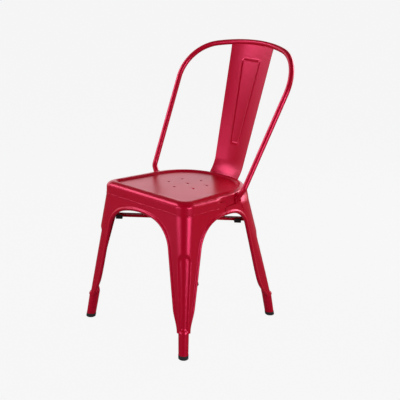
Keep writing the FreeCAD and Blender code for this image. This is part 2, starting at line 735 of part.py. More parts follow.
# Back splat
def splat_stations():
    """Stations down the splat: place of the front face, half width and bow's radius."""
    top = hoop_top
    low = splat_low
    down = (low - top).normalize()
    lean = math.degrees(math.atan2(-down.y, -down.z))
    reach = val("hoop_tube") / 2 + seat_gap
    turn = val("splat_turn")
    bend = val("splat_bend")
    heel = val("splat_heel")
    tail_y = val("seat_rear") + tuck + seat_gap
    stations = []
    length = (low - top).Length

    def note(place, degrees, share):
        half = val("splat_top_half") + (val("splat_low_half") - val("splat_top_half")) * share
        stations.append((place, degrees, half, share))

    note(top + down * reach, lean, reach / length)
    steps = 4
    for step in range(1, steps + 1):
        note(top + down * (length * step / steps), lean, step / steps)
    place = low
    for step in range(1, steps + 1):
        angle = lean + (turn - lean) * step / steps
        mid = math.radians(angle - (turn - lean) / steps / 2)
        span = bend * math.radians((turn - lean) / steps)
        place = place + Vector(0, -math.sin(mid), -math.cos(mid)) * span
        note(place, angle, 1.0)
    fall = heel * (1 - math.cos(math.radians(turn)))
    run = (place.y - tail_y - gauge - fall) / math.sin(math.radians(turn))
    place = place + Vector(0, -math.sin(math.radians(turn)), -math.cos(math.radians(turn))) * run
    note(place, turn, 1.0)
    for step in range(1, steps + 1):
        angle = turn * (1 - step / steps)
        mid = math.radians(angle + turn / steps / 2)
        span = heel * math.radians(turn / steps)
        place = place + Vector(0, -math.sin(mid), -math.cos(mid)) * span
        note(place, angle, 1.0)
    note(place - Vector(0, 0, val("splat_tail")), 0, 1.0)
    return stations


def splat_sheet(front_inset, back_inset):
    """Bowed sheet between two offsets from the splat's front face."""
    wires = []
    for place, degrees, half, share in splat_stations():
        a = math.radians(degrees)
        normal = Vector(0, math.cos(a), -math.sin(a))
        bow = val("splat_bow") + (low_bow() - val("splat_bow")) * share
        sag = bow - math.sqrt(bow ** 2 - half ** 2)
        corners = []
        for offset in (front_inset, back_inset):
            middle = place + normal * offset
            side = middle - normal * sag
            corners.append((Vector(-half, side.y, side.z), middle, Vector(half, side.y, side.z)))
        near, back = corners
        edges = chain([
            [near[0], near[1], near[2]],
            [near[2], back[2]],
            [back[2], back[1], back[0]],
            [back[0], near[0]],
        ])
        wires.append(Part.Wire(edges))
    return wires


def low_bow():
    """Radius of the splat's bow at the seat, that of the rear leg's flange under it."""
    wide = rear_level(skirt_bottom)
    return rear_arc(wide["side"] - wide["radius"], wide["corner"], wide["radius"], wide["apex"])[1]


def sheet_solid(front_inset, back_inset):
    wires = splat_sheet(front_inset, back_inset)
    blade = Part.makeLoft(wires[:5], True, True)
    neck = Part.makeLoft(wires[4:], True, True)
    return blade.fuse(neck).removeSplitter()


def emboss_frame(inset, round_off):
    """Tapered outline on the splat with rounded upper corners, as a solid along Y."""
    top = val("rim_height") + val("emboss_top_rise") - inset
    foot = val("rim_height") + val("emboss_foot_rise") + inset
    top_half = val("emboss_top_half") - inset
    foot_half = val("emboss_foot_half") - inset
    sag = round_off * (1 - math.sqrt(0.5))
    slope = (top_half - foot_half) / (top - foot)
    right = [
        [Vector(0, 0, foot), Vector(foot_half, 0, foot)],
        [Vector(foot_half, 0, foot), Vector(top_half - slope * round_off, 0, top - round_off)],
        [Vector(top_half - slope * round_off, 0, top - round_off),
         Vector(top_half - sag, 0, top - sag),
         Vector(top_half - round_off, 0, top)],
        [Vector(top_half - round_off, 0, top), Vector(0, 0, top)],
    ]
    wire = Part.Wire(chain(right + mirrored(right)))
    return Part.Face(wire).extrude(Vector(0, far, 0))


def back_splat():
    """Bent and bowed sheet with its raised outline, cut to the tube above it."""
    plain = sheet_solid(0, gauge)
    proud = sheet_solid(-val("emboss_height"), gauge / 2)
    outer = emboss_frame(0, val("emboss_round"))
    inner = emboss_frame(val("emboss_width"), val("emboss_inner_round"))
    band = outer.cut(inner)
    half_pipe = pipe(hoop_half()[-1:], val("hoop_tube") / 2 + seat_gap)
    clearance = half_pipe.fuse(half_pipe.mirror(Vector(0, 0, 0), Vector(1, 0, 0)))
    return feature("back_splat", plain.fuse(proud.common(band)).cut(clearance).removeSplitter())


# Cross brace
def brace_corners():
    """Centres of the front and the rear leg's corner at the brace, from the crossing."""
    height = brace_bottom + val("brace_height")
    found = []
    for leg in (front_leg_form, rear_leg_form):
        x, y = tube_axis(leg, height)
        found.append(Vector(x, y + val("brace_middle"), 0))
    return found


def bar_lengths(degrees):
    """Lengths from the crossing to each end plate of a bar laid at an angle."""
    ahead = Vector(math.cos(math.radians(degrees)), math.sin(math.radians(degrees)), 0)
    side = Vector(-ahead.y, ahead.x, 0)
    found = []
    height = brace_bottom + val("brace_height")
    for leg, centre in zip((front_leg_form, rear_leg_form), brace_corners()):
        radius = leg["level"](height)["radius"] - gauge - seat_gap
        mirrored_centre = Vector(centre.x * leg["way"], centre.y, 0)
        off = abs(mirrored_centre.dot(side)) + val("brace_width") / 2
        found.append(abs(mirrored_centre.dot(ahead)) + math.sqrt(radius ** 2 - off ** 2) - 2 * seat_gap)
    return found


def bar_angle():
    """Angle of the diagonal between the front and the rear corner's centres."""
    front, rear = brace_corners()
    return math.degrees(math.atan2(rear.y - front.y, rear.x + front.x))


def brace_bar(label, opens_down):
    """Channel bar with an end plate at each leg and a notch at the crossing."""
    degrees = bar_angle()
    front, rear = bar_lengths(degrees)
    low = brace_bottom
    high = low + val("brace_height")
    half = val("brace_width") / 2

    def block(x_from, x_to, y_half, z_from, z_to):
        piece = Part.makeBox(x_to - x_from, 2 * y_half, z_to - z_from)
        piece.translate(Vector(x_from, -y_half, z_from))
        return piece

    bar = block(-front, rear, half, low, high)
    if opens_down:
        groove = block(-front + gauge, rear - gauge, half - gauge, low - beyond, high - gauge)
        notch = block(-half - seat_gap, half + seat_gap, half + beyond, low - beyond, high - gauge)
    else:
        groove = block(-front + gauge, rear - gauge, half - gauge, low + gauge, high + beyond)
        notch = block(-half - seat_gap, half + seat_gap, half + beyond, low + gauge, high + beyond)
    bar = bar.cut(groove).cut(notch)
    plates = [block(-front, -front + gauge, half, high - val("brace_tab"), high),
              block(rear - gauge, rear, half, high - val("brace_tab"), high)]
    bore_length = val("brace_height") + 2 * beyond
    bore = Part.makeCylinder(rivet_bore, bore_length, Vector(0, 0, low - beyond))
    bar = bar.fuse(plates).cut(bore).removeSplitter()
    turn = degrees
    if not opens_down:
        bar = bar.mirror(Vector(0, 0, 0), Vector(1, 0, 0))
        turn = -degrees
    bar.rotate(Vector(0, 0, 0), Vector(0, 0, 1), turn)
    bar.translate(Vector(0, -val("brace_middle"), 0))
    return feature(label, bar)


def brace_spacer():
    low = brace_bottom + gauge
    height = val("brace_height") - 2 * gauge
    foot = Vector(0, -val("brace_middle"), low)
    outer = Part.makeCylinder(val("spacer_outside") / 2, height, foot)
    bore = Part.makeCylinder(rivet_bore, height, foot)
    return feature("brace_spacer", outer.cut(bore))


def brace_rivet():
    """Shank through both bars with a domed head at each end."""
    rivet = body("brace_rivet")
    profile = sketch_on(rivet, "RivetProfile", "XZ_Plane")
    shank = val("rivet_shank") / 2
    head = val("rivet_head") / 2
    rise = val("rivet_head_height")
    dome = (head ** 2 + rise ** 2) / (2 * rise)
    half_turn = math.asin(head / dome) / 2
    middle_x = dome * math.sin(half_turn)
    middle_rise = rise - dome * (1 - math.cos(half_turn))
    low = brace_bottom
    high = low + val("brace_height")
    foot = Vector(0, low - rise, 0)
    top = Vector(0, high + rise, 0)
    draw(profile, [
        [foot, Vector(middle_x, low - middle_rise, 0), Vector(head, low, 0)],
        [Vector(head, low, 0), Vector(shank, low, 0)],
        [Vector(shank, low, 0), Vector(shank, high, 0)],
        [Vector(shank, high, 0), Vector(head, high, 0)],
        [Vector(head, high, 0), Vector(middle_x, high + middle_rise, 0), top],
        [top, foot],
    ])
    turned = rivet.newObject("PartDesign::Revolution", "RivetTurned")
    turned.Profile = profile
    turned.ReferenceAxis = (profile, ["V_Axis"])
    turned.Angle = 360
    rivet.Placement = Placement(Vector(0, -val("brace_middle") - origin_y, 0), Rotation())
    return rivet


def stacking_bumper(label, front_end, left_end):
    """Saddle clipped on a brace bar from below, with a pad under the bar."""
    degrees = bar_angle()
    front, rear = bar_lengths(degrees)
    along_bar = -(front - val("bumper_from_end")) if front_end else rear - val("bumper_from_end")
    half = val("brace_width") / 2 + seat_gap + val("bumper_cheek")
    length = val("bumper_length")
    low = brace_bottom - val("bumper_pad")
    high = brace_bottom + val("brace_height") - gauge
    block = Part.makeBox(length, 2 * half, high - low)
    block.translate(Vector(along_bar - length / 2, -half, low))
    upright = [e for e in block.Edges if abs(e.Vertexes[0].Z - e.Vertexes[1].Z) > beyond]
    block = block.makeFillet(val("bumper_cheek"), upright)
    slot_half = val("brace_width") / 2 + seat_gap
    slot = Part.makeBox(length + 2 * beyond, 2 * slot_half, high)
    slot.translate(Vector(along_bar - length / 2 - beyond, -slot_half, brace_bottom - seat_gap))
    saddle = block.cut(slot)
    if front_end == left_end:
        saddle = saddle.mirror(Vector(0, 0, 0), Vector(1, 0, 0))
        saddle.rotate(Vector(0, 0, 0), Vector(0, 0, 1), -degrees)
    else:
        saddle.rotate(Vector(0, 0, 0), Vector(0, 0, 1), degrees)
    saddle.translate(Vector(0, -val("brace_middle"), 0))
    return feature(label, saddle)


# Foot caps
def foot_cap(label, leg):
    """Rubber foot with a hollow plug that fills the leg's tube."""
    height = val("cap_height")
    top = height + val("cap_stem")
    disc = closed_tube(leg, 0, height - seat_gap / 2, 0, None)
    lower = [e for e in disc.Edges if e.BoundBox.ZMax < 0.01]
    disc = disc.makeChamfer(val("cap_edge"), lower)
    plug_inset = val("tube_inset") + gauge + seat_gap
    plug = closed_tube(leg, height / 2, top, plug_inset, None)
    bore = closed_tube(leg, val("cap_floor"), top + beyond, plug_inset + val("cap_stem_wall"), None)
    return feature(label, disc.fuse(plug).cut(bore))


seat_pan()
front_leg = front_left_leg()
rear_leg = rear_left_leg(hoop_half())
doc.recompute()
other_side("front_right_leg", front_leg)
other_side("rear_right_leg", rear_leg)
back_hoop()
back_splat()
brace_bar("brace_bar_upper", True)
brace_bar("brace_bar_lower", False)
brace_spacer()
brace_rivet()
for end in ("front", "rear"):
    for hand in ("left", "right"):
        stacking_bumper("stacking_bumper_%s_%s" % (end, hand), end == "front", hand == "left")
for end, leg in (("front", front_leg_form), ("rear", rear_leg_form)):
    cap = foot_cap("foot_cap_%s_left" % end, leg)
    doc.recompute()
    other_side("foot_cap_%s_right" % end, cap)
doc.recompute()

nodes = [
    "seat_pan", "front_left_leg", "front_right_leg", "rear_left_leg", "rear_right_leg",
    "back_hoop", "back_splat", "brace_bar_upper", "brace_bar_lower", "brace_spacer", "brace_rivet",
    "stacking_bumper_front_left", "stacking_bumper_front_right",
    "stacking_bumper_rear_left", "stacking_bumper_rear_right",
    "foot_cap_front_left", "foot_cap_front_right", "foot_cap_rear_left", "foot_cap_rear_right",
]
for item in doc.Objects:
    if "Invalid" in item.State or "Error" in item.State:
        raise RuntimeError("%s did not compute: %s" % (item.Label, item.State))
for node in nodes:
    shape = doc.getObjectsByLabel(node)[0].Shape
    if shape.isNull() or not shape.isValid() or not shape.Solids:
        raise RuntimeError("%s has no valid solid" % node)
    print(node, len(shape.Solids), "solid", round(shape.Volume), "mm3", len(shape.Faces), "faces")
    shape.exportStep("parts/%s.step" % node)
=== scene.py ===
import bpy
import bmesh
import json
import math
import numpy as np
from mathutils import Matrix, Vector
from mathutils.geometry import delaunay_2d_cdt

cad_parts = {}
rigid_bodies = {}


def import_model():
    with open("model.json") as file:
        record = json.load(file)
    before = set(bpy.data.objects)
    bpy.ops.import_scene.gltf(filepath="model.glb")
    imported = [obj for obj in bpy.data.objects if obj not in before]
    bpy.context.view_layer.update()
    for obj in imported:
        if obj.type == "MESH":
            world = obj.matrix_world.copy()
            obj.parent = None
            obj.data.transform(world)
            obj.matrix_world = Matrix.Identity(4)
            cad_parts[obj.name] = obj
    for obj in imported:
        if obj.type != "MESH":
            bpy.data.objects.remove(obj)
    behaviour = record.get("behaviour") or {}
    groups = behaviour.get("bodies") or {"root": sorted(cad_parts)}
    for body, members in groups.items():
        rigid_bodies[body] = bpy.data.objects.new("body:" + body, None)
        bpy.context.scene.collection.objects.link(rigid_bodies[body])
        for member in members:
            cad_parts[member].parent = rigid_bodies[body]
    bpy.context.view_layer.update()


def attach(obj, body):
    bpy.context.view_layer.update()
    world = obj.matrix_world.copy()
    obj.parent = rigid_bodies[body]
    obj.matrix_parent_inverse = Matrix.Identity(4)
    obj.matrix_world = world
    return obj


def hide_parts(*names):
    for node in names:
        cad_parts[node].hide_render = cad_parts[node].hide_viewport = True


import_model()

# Shapes are worked out in millimetres from the seat's centre hole, then moved and scaled
# to the frame: +X is the sitter's left, -Y the front, z = 0 the floor.
chair = {
    "holeBeforeOrigin": 37.1,  # the seat's centre hole lies this far in front of the origin
    "rim": 440.0,  # top of the seat
    "skirtFoot": 402.0,  # lower edge of the seat's skirt
    "sheet": 1.5,  # thickness of the pressed sheet
    "seam": 0.15,  # half of the gap at a butt seam
    "merge": 0.002,  # points nearer than this become one
}


# Helpers for curves and meshes

def toFrame(points):
    # Millimetres from the seat's hole to metres in the frame: subtract the shift, divide by 1000
    moved = np.array(points, float)
    moved[..., 1] -= chair["holeBeforeOrigin"]
    return moved / 1000.0


def ease(value, low, high):
    # Smooth step: t from 0 at low to 1 at high, then t squared times (3 - 2t)
    t = np.clip((np.asarray(value, float) - low) / (high - low), 0, 1)
    return t * t * (3 - 2 * t)


def circlePart(centre, radius, start, end, count):
    # Points at centre plus radius times (cosine, sine), angles in degrees
    a = np.radians(np.linspace(start, end, count))
    return np.stack([centre[0] + radius * np.cos(a), centre[1] + radius * np.sin(a)], -1)


def between(low, high, share):
    # Straight blend: low plus (high - low) times the share
    return low + (high - low) * share


def unit(vectors):
    # Each vector divided by its own length
    return vectors / np.linalg.norm(vectors, axis=-1, keepdims=True)


def alongCurve(points, fractions):
    # Points at fractions of a polyline's length, found by interpolation
    lengths = np.concatenate([[0], np.cumsum(np.linalg.norm(np.diff(points, axis=0), axis=1))])
    where = np.asarray(fractions) * lengths[-1]
    return np.stack([np.interp(where, lengths, points[:, k]) for k in range(points.shape[1])], -1)


def gridQuads(rows, cols, wrap, flip, first):
    # Each cell's four corners, row by row; wrap joins the last column to the first one
    i, j = np.meshgrid(np.arange(rows - 1), np.arange(cols if wrap else cols - 1), indexing="ij")
    k = (j + 1) % cols
    quads = np.stack([i * cols + j, i * cols + k, (i + 1) * cols + k, (i + 1) * cols + j], -1)
    quads = quads.reshape(-1, 4) + first
    return quads[:, ::-1] if flip else quads


def makePiece(name, patches, material, nodes=(), wall=0.0, sharp=40, extra=None):
    # Puts grids of points into one mesh, merges shared edges, and gives the sheet its wall.
    # A patch is a grid with the flags wrap and flip; extra adds loose triangles.
    merge = chair["merge"] / 1000.0
    points, faces, first = [], [], 0
    for grid, wrap, flip in patches:
        rows, cols = grid.shape[:2]
        points.append(grid.reshape(-1, 3))
        faces += gridQuads(rows, cols, wrap, flip, first).tolist()
        first += rows * cols
    if extra is not None:
        points.append(extra[0])
        faces += (np.array(extra[1]) + first).tolist()
    mesh = bpy.data.meshes.new(name)
    mesh.from_pydata(toFrame(np.concatenate(points)).tolist(), [], faces)
    work = bmesh.new()
    work.from_mesh(mesh)
    bmesh.ops.remove_doubles(work, verts=work.verts, dist=merge)
    bmesh.ops.dissolve_degenerate(work, edges=work.edges, dist=merge / 4)
    work.to_mesh(mesh)
    work.free()
    piece = bpy.data.objects.new(name, mesh)
    bpy.context.scene.collection.objects.link(piece)
    if wall:
        solid = piece.modifiers.new("Wall", "SOLIDIFY")
        solid.thickness = wall / 1000.0
        solid.offset = -1
        graph = bpy.context.evaluated_depsgraph_get()
        settled = bpy.data.meshes.new_from_object(piece.evaluated_get(graph))
        piece.modifiers.clear()
        piece.data = settled
        settled.name = name
        bpy.data.meshes.remove(mesh)
        mesh = settled
    mesh.polygons.foreach_set("use_smooth", np.ones(len(mesh.polygons), bool))
    mesh.set_sharp_from_angle(angle=math.radians(sharp))
    mesh.update()
    mesh.materials.append(material)
    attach(piece, "root")
    if nodes:
        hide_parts(*nodes)
    return piece


def mirrorPatches(patches):
    # The same grids with x turned to -x, and their winding turned round
    return [(grid * np.array([-1, 1, 1]), wrap, not flip) for grid, wrap, flip in patches]


# Shader maths

class Signal:
    # A node's socket that takes + - * with numbers and other signals
    def __init__(self, bench, socket):
        self.bench = bench
        self.socket = socket

    def join(self, operation, first, second):
        # One Math node over two values
        return self.bench.node("ShaderNodeMath", {"operation": operation}, {0: first, 1: second})

    def __add__(self, other):
        return self.join("ADD", self, other)

    def __radd__(self, other):
        return self.join("ADD", other, self)

    def __sub__(self, other):
        return self.join("SUBTRACT", self, other)

    def __rsub__(self, other):
        return self.join("SUBTRACT", other, self)

    def __mul__(self, other):
        return self.join("MULTIPLY", self, other)

    def __rmul__(self, other):
        return self.join("MULTIPLY", other, self)


class Bench:
    # Adds nodes to one tree; values are numbers, colours or signals
    def __init__(self, tree):
        self.tree = tree
        tree.nodes.clear()

    def node(self, kind, settings=None, values=None, output=0):
        # One node: its settings first, then the values or links of its sockets
        made = self.tree.nodes.new(kind)
        for key, value in (settings or {}).items():
            setattr(made, key, value)
        for key, value in (values or {}).items():
            if isinstance(value, Signal):
                self.tree.links.new(value.socket, made.inputs[key])
            else:
                made.inputs[key].default_value = value
        return Signal(self, made.outputs[output]) if len(made.outputs) else None

    def mixColour(self, share, first, second):
        # The first colour where the share is 0, the second where it is 1
        return self.node("ShaderNodeMix", {"data_type": "RGBA"}, {0: share, 6: first, 7: second}, output=2)

    def noise(self, place, scale, detail):
        # Soft noise over the coordinates of a place
        return self.node("ShaderNodeTexNoise", {}, {"Vector": place, "Scale": scale, "Detail": detail})

    def fade(self, value, limits, first, last):
        # Smooth step from the first number to the last one while the value passes its two limits
        return self.node("ShaderNodeMapRange", {"interpolation_type": "SMOOTHSTEP"}, {
            "Value": value, "From Min": limits[0], "From Max": limits[1], "To Min": first, "To Max": last})


def newMaterial(name):
    # An empty material and the bench for its nodes
    material = bpy.data.materials.new(name)
    material.use_nodes = True
    return material, Bench(material.node_tree)


paint = {
    # Powder coat as linear colours, plain and where it lies a little thicker
    "colours": ((0.57, 0.0002, 0.018, 1), (0.5, 0.0001, 0.013, 1)),
    "clouds": (9.0, 3.0), "spread": 0.06,  # scale and detail of soft clouds; their reach in roughness
    "relief": ((14.0, 1.0, 0.00022),  # scale, detail, height in metres: waves of the pressed sheet
               (620.0, 2.0, 0.000012)),  # and the coat's orange peel, about 1.5 mm apart
    # Candy coat: its reflection is strong and red. Painted shade: the bars under the seat get a rougher, less
    # reflective copy of it, so that they render darker, as they lie in the seat's shade.
    "glossy": {"Roughness": 0.29, "IOR": 2.45, "Specular Tint": (1.0, 0.09, 0.24, 1)},
    "dull": {"Roughness": 0.6, "IOR": 1.25, "Specular Tint": (1.0, 0.09, 0.24, 1)},
}
black = {
    "colours": ((0.012, 0.012, 0.013, 1), (0.022, 0.021, 0.022, 1)),  # plain and dusty
    "clouds": (60.0, 4.0), "spread": 0.15,
    "relief": ((900.0, 2.0, 0.00002),),  # fine grain of a moulded part
    "plastic": {"Roughness": 0.5}, "rubber": {"Roughness": 0.75},
}


def coat(name, look, surface):
    # Clouds of noise mix the colours and spread the roughness; the bump is finer noise times its height
    material, bench = newMaterial(name)
    place = bench.node("ShaderNodeTexCoord", output="Object")
    clouds = bench.noise(place, *look["clouds"])
    height = 0.0
    for scale, detail, reach in look["relief"]:
        height = bench.noise(place, scale, detail) * reach + height
    bump = bench.node("ShaderNodeBump", {}, {"Height": height, "Distance": 1.0, "Strength": 1.0})
    shader = bench.node("ShaderNodeBsdfPrincipled", {}, surface | {
        "Base Color": bench.mixColour(clouds, *look["colours"]), "Normal": bump,
        "Roughness": surface["Roughness"] + (clouds - 0.5) * look["spread"]})
    bench.node("ShaderNodeOutputMaterial", {}, {"Surface": shader})
    return material


redCoat = coat("redPowderCoat", paint, paint["glossy"])
# Painted shade: a duller, less reflective copy of the red coat for the bars in the seat's shade
shadedDullCoat = coat("redDullCoat", paint, paint["dull"])
blackPlastic = coat("blackPlastic", black, black["plastic"])
blackRubber = coat("blackRubber", black, black["rubber"])
print("materials are ready")


# Seat

seat = {
    "halfWidth": 171.2, "front": 189.7, "rear": 166.0,
    "frontCorner": 36.5, "rearCorner": 93.0, "rearCornerY": 55.0,
    "stepY": -55.0, "stepRun": 30.0, "recessX": 153.3,
    "rimSide": 164.2, "rimRear": 168.0, "rimPower": 2.15,  # rim's outline behind the step
    "rimStep": (-62.0, -26.0),  # where the rim narrows from the skirt's width
    "rollFront": 16.5, "rollRear": 9.5,  # how far down the rim's roll reaches
    "crestWide": 148.5, "crestSide": 141.5, "crestFront": 170.3, "crestCorner": 23.8,
    "crestRear": 151.0, "crestPower": 2.45,
    "slope": 11.0, "panDepth": 6.0,
    "wallReach": 169.4,  # side wall over the rear leg's flange, just inside its sheet
    "wallEnd": (44.0, 58.0),  # where that wall falls back under the leg's shoulder
    "wallTurn": 11.0, "wallLead": 4.0,  # how sharply it does so, and how far ahead it begins
    "holeRadius": 3.75, "holeCircle": 58.4, "holeLip": 0.9, "holeSides": 36,
    "floorStep": 14.0,  # spacing of the loose points in the pan's floor
    "holeClear": 5.0, "edgeClear": 8.0,  # how far they keep from a hole and from the pan's edge
    "holeShare": 0.98,  # a triangle goes if its middle is within this share of a hole
    "bead": 0.8, "beadHalf": 1.5,  # how far the rolled lower edge stands out, half its height
    "beadTop": 2.3,  # the plain skirt begins this many half-heights up
    "pocketDrop": 9.0,  # the skirt reaches lower where the rear legs wrap it
    "pocketStart": (-40.0, -22.0),  # and gets there between these places
    "beadRows": 9, "wallRows": 14, "rollRows": 25, "panRows": 17, "lipRows": 5,
}


def rearSweep(cornerX, cornerY, radius, apex):
    # The arc over the rear that meets both corner arcs: its centre, radius and first angle
    rise = apex - cornerY
    big = (cornerX ** 2 + rise ** 2 - radius ** 2) / (2 * (rise - radius))
    return apex - big, big, np.degrees(np.arctan2(cornerY - (apex - big), cornerX))


def ovalPart(side, rear, power, count):
    # Superellipse over the rear half: x = side cos(t)^(2 / power), y = rear sin(t)^(2 / power)
    t = np.linspace(0, np.pi / 2, count)
    return np.stack([side * np.cos(t).clip(0) ** (2 / power), rear * np.sin(t) ** (2 / power)], -1)


def seatOutlines():
    # Right half of four outlines with the same number of points: the skirt's foot, the rim's outer
    # edge, the crest's inner edge and the pan's edge
    s = seat
    recess = s["halfWidth"] - s["recessX"]
    bend = (s["stepRun"] ** 2 + recess ** 2) / (4 * recess)
    turn = np.degrees(np.arcsin(s["stepRun"] / 2 / bend))
    corner = (s["halfWidth"] - s["frontCorner"], -s["front"] + s["frontCorner"])
    rearX = s["recessX"] - s["rearCorner"]
    arcY, arcR, end = rearSweep(rearX, s["rearCornerY"], s["rearCorner"], s["rear"])
    counts = (26, 22, 22, 9, 9, 20, 34, 26)  # points on each stretch of the skirt
    skirt = np.concatenate([
        np.linspace((0, -s["front"]), (corner[0], -s["front"]), counts[0]),
        circlePart(corner, s["frontCorner"], -90, 0, counts[1]),
        np.linspace((s["halfWidth"], corner[1]), (s["halfWidth"], s["stepY"]), counts[2]),
        circlePart((s["halfWidth"] - bend, s["stepY"]), bend, 0, turn, counts[3]),
        circlePart((s["recessX"] + bend, s["stepY"] + s["stepRun"]), bend, 180 + turn, 180, counts[4]),
        np.linspace((s["recessX"], s["stepY"] + s["stepRun"]), (s["recessX"], s["rearCornerY"]), counts[5]),
        circlePart((rearX, s["rearCornerY"]), s["rearCorner"], 0, end, counts[6]),
        circlePart((0, arcY), arcR, end, 90, counts[7]),
    ])
    ahead, beside = counts[0] + counts[1], sum(counts[2:5])
    behind = sum(counts[5:])
    alongSide = np.concatenate([skirt[ahead:ahead + beside - 1, 1], [0.0]])
    rimX = between(s["halfWidth"], s["rimSide"], ease(alongSide, *s["rimStep"]))
    rim = np.concatenate([skirt[:ahead], np.stack([rimX, alongSide], -1),
                          ovalPart(s["rimSide"], s["rimRear"], s["rimPower"], behind)])
    inner = []
    for shrink in (0.0, s["slope"]):
        front = -s["crestFront"] + shrink
        radius = s["crestCorner"] - shrink
        middle = (s["crestWide"] - shrink - radius, front + radius)
        share = (alongSide - corner[1]) / -corner[1]
        narrow = between(s["crestWide"], s["crestSide"], share)
        inner.append(np.concatenate([
            np.linspace((0, front), (middle[0], front), counts[0]),
            circlePart(middle, radius, -90, 0, counts[1]),
            np.stack([narrow - shrink, middle[1] * (1 - share)], -1),
            ovalPart(s["crestSide"] - shrink, s["crestRear"] - shrink, s["crestPower"], behind),
        ]))
    return skirt, rim, inner[0], inner[1]


def wholeLoop(half):
    # The right half and its mirror image as one closed loop, without repeated ends
    return np.concatenate([half, (half * np.array([-1, 1]))[-2:0:-1]])


def insideLoop(points, loop):
    # Even-odd rule: a ray along +X crosses the loop an odd number of times
    a, b = loop, np.roll(loop, -1, 0)
    x, y = points[:, None, 0], points[:, None, 1]
    spans = (a[None, :, 1] > y) != (b[None, :, 1] > y)
    height = np.where(b[:, 1] == a[:, 1], 1e-9, b[:, 1] - a[:, 1])
    cross = a[:, 0] + (y - a[None, :, 1]) / height[None] * (b[:, 0] - a[:, 0])
    return (spans & (x < cross)).sum(1) % 2 == 1


def nearest(points, others):
    # Each point's distance to the nearest of the others
    return np.linalg.norm(points[:, None] - others[None], axis=2).min(1)


def panFloor(pan, centres, level):
    # Flat triangles between the pan's edge and the drain holes, over loose points on a square grid
    grown = seat["holeRadius"] + seat["holeLip"]
    steps = seat["front"] // seat["floorStep"]
    line = seat["floorStep"] * np.arange(-steps, steps + 1)
    gx, gy = np.meshgrid(line, line, indexing="ij")
    loose = np.stack([gx.ravel(), gy.ravel()], -1)
    clear = nearest(loose, centres) > grown + seat["holeClear"]
    loose = loose[clear & (nearest(loose, pan) > seat["edgeClear"]) & insideLoop(loose, pan)]
    circles = [circlePart(c, grown, 0, 360, seat["holeSides"] + 1)[:-1] for c in centres]
    edges, at = [], 0
    for count in [len(pan)] + [seat["holeSides"]] * len(centres):
        edges += [(at + k, at + (k + 1) % count) for k in range(count)]
        at += count
    flat = np.concatenate([pan] + circles + [loose])
    cells = delaunay_2d_cdt([Vector(p) for p in flat], edges, [], 0, 1e-5)
    corners = np.array([list(v) for v in cells[0]])
    triangles = np.array([list(f) for f in cells[2]])
    middles = corners[triangles].mean(1)
    triangles = triangles[insideLoop(middles, pan) & (nearest(middles, centres) > grown * seat["holeShare"])]
    a, b, c = [corners[triangles[:, k]] for k in range(3)]
    turn = (b - a)[:, 0] * (c - a)[:, 1] - (b - a)[:, 1] * (c - a)[:, 0]
    triangles[turn < 0] = triangles[turn < 0][:, ::-1]
    return np.concatenate([corners, np.full((len(corners), 1), level)], 1), triangles


def holeLips(centres, level):
    # Quarter-round lip of each hole: radius falls by the lip times sin a, height by lip (1 - cos a)
    a = np.radians(np.linspace(0, 90, seat["lipRows"]))[:, None]
    reach = seat["holeRadius"] + seat["holeLip"] * (1 - np.sin(a))
    turn = np.radians(np.linspace(0, 360, seat["holeSides"] + 1)[:-1])
    lips = []
    for x, y in centres:
        height = level - seat["holeLip"] * (1 - np.cos(a)) + 0 * turn
        rings = np.stack([x + reach * np.cos(turn), y + reach * np.sin(turn), height], -1)
        lips.append((rings, True, False))
    return lips


def seatShell():
    # Rows run up the skirt, round the rim's roll to the crest and down to the pan. The roll is a quarter
    # ellipse: from the rim's edge it moves in by (1 - cos a) of the way and up by sin a of its reach.
    s = seat
    outline, edge, crest, pan = [wholeLoop(half) for half in seatOutlines()]
    ahead = np.roll(outline, -1, 0) - np.roll(outline, 1, 0)
    same = np.linalg.norm(ahead, axis=1) < 1e-6
    ahead[same] = (np.roll(outline, -2, 0) - np.roll(outline, 2, 0))[same]
    outward = unit(np.stack([ahead[:, 1], -ahead[:, 0]], -1))
    along = outline[:, 1]
    rim = chair["rim"]
    roll = between(s["rollFront"], s["rollRear"], ease(along, *s["rimStep"]))
    foot = chair["skirtFoot"] - s["pocketDrop"] * ease(along, *s["pocketStart"])
    walled = ease(along, s["stepY"], s["stepY"] + s["stepRun"]) * (1 - ease(along, *s["wallEnd"]))
    lower = outline.copy()
    lower[:, 0] += np.sign(outline[:, 0]) * walled * (s["wallReach"] - np.abs(outline[:, 0])).clip(0)
    steep = 1 + s["wallTurn"] * ease(along, s["wallEnd"][0] - s["wallLead"], s["wallEnd"][1])
    low = foot + s["beadTop"] * s["beadHalf"]
    rows = []

    def ring(plan, height):
        # One row of the shell: the plan's points at one height or at a height of their own
        rows.append(np.concatenate([plan, np.broadcast_to(height, (len(plan),))[:, None]], 1))

    for a in np.radians(np.linspace(-90, 90, s["beadRows"])):
        ring(lower + outward * s["bead"] * np.cos(a), foot + s["beadHalf"] * (1 + np.sin(a)))
    for t in np.linspace(0, 1, s["wallRows"])[1:-1]:
        ring(between(lower, edge, (t ** steep)[:, None]), between(low, rim - roll, t))
    for a in np.radians(np.linspace(0, 90, s["rollRows"])):
        ring(between(edge, crest, 1 - np.cos(a)), rim - roll + roll * np.sin(a))
    for t in np.linspace(0, 1, s["panRows"])[1:]:
        ring(between(crest, pan, t), rim - s["panDepth"] * (1 - np.cos(np.pi * t)) / 2)
    level = rim - s["panDepth"]
    centres = np.concatenate([[[0.0, 0.0]], circlePart((0, 0), s["holeCircle"], 90, 390, 6)])
    patches = [(np.stack(rows), True, False)] + holeLips(centres, level)
    makePiece("seatShell", patches, redCoat, ("seat_pan",), chair["sheet"],
              extra=panFloor(pan, centres, level))


seatShell()
print("seat is ready")


# Legs

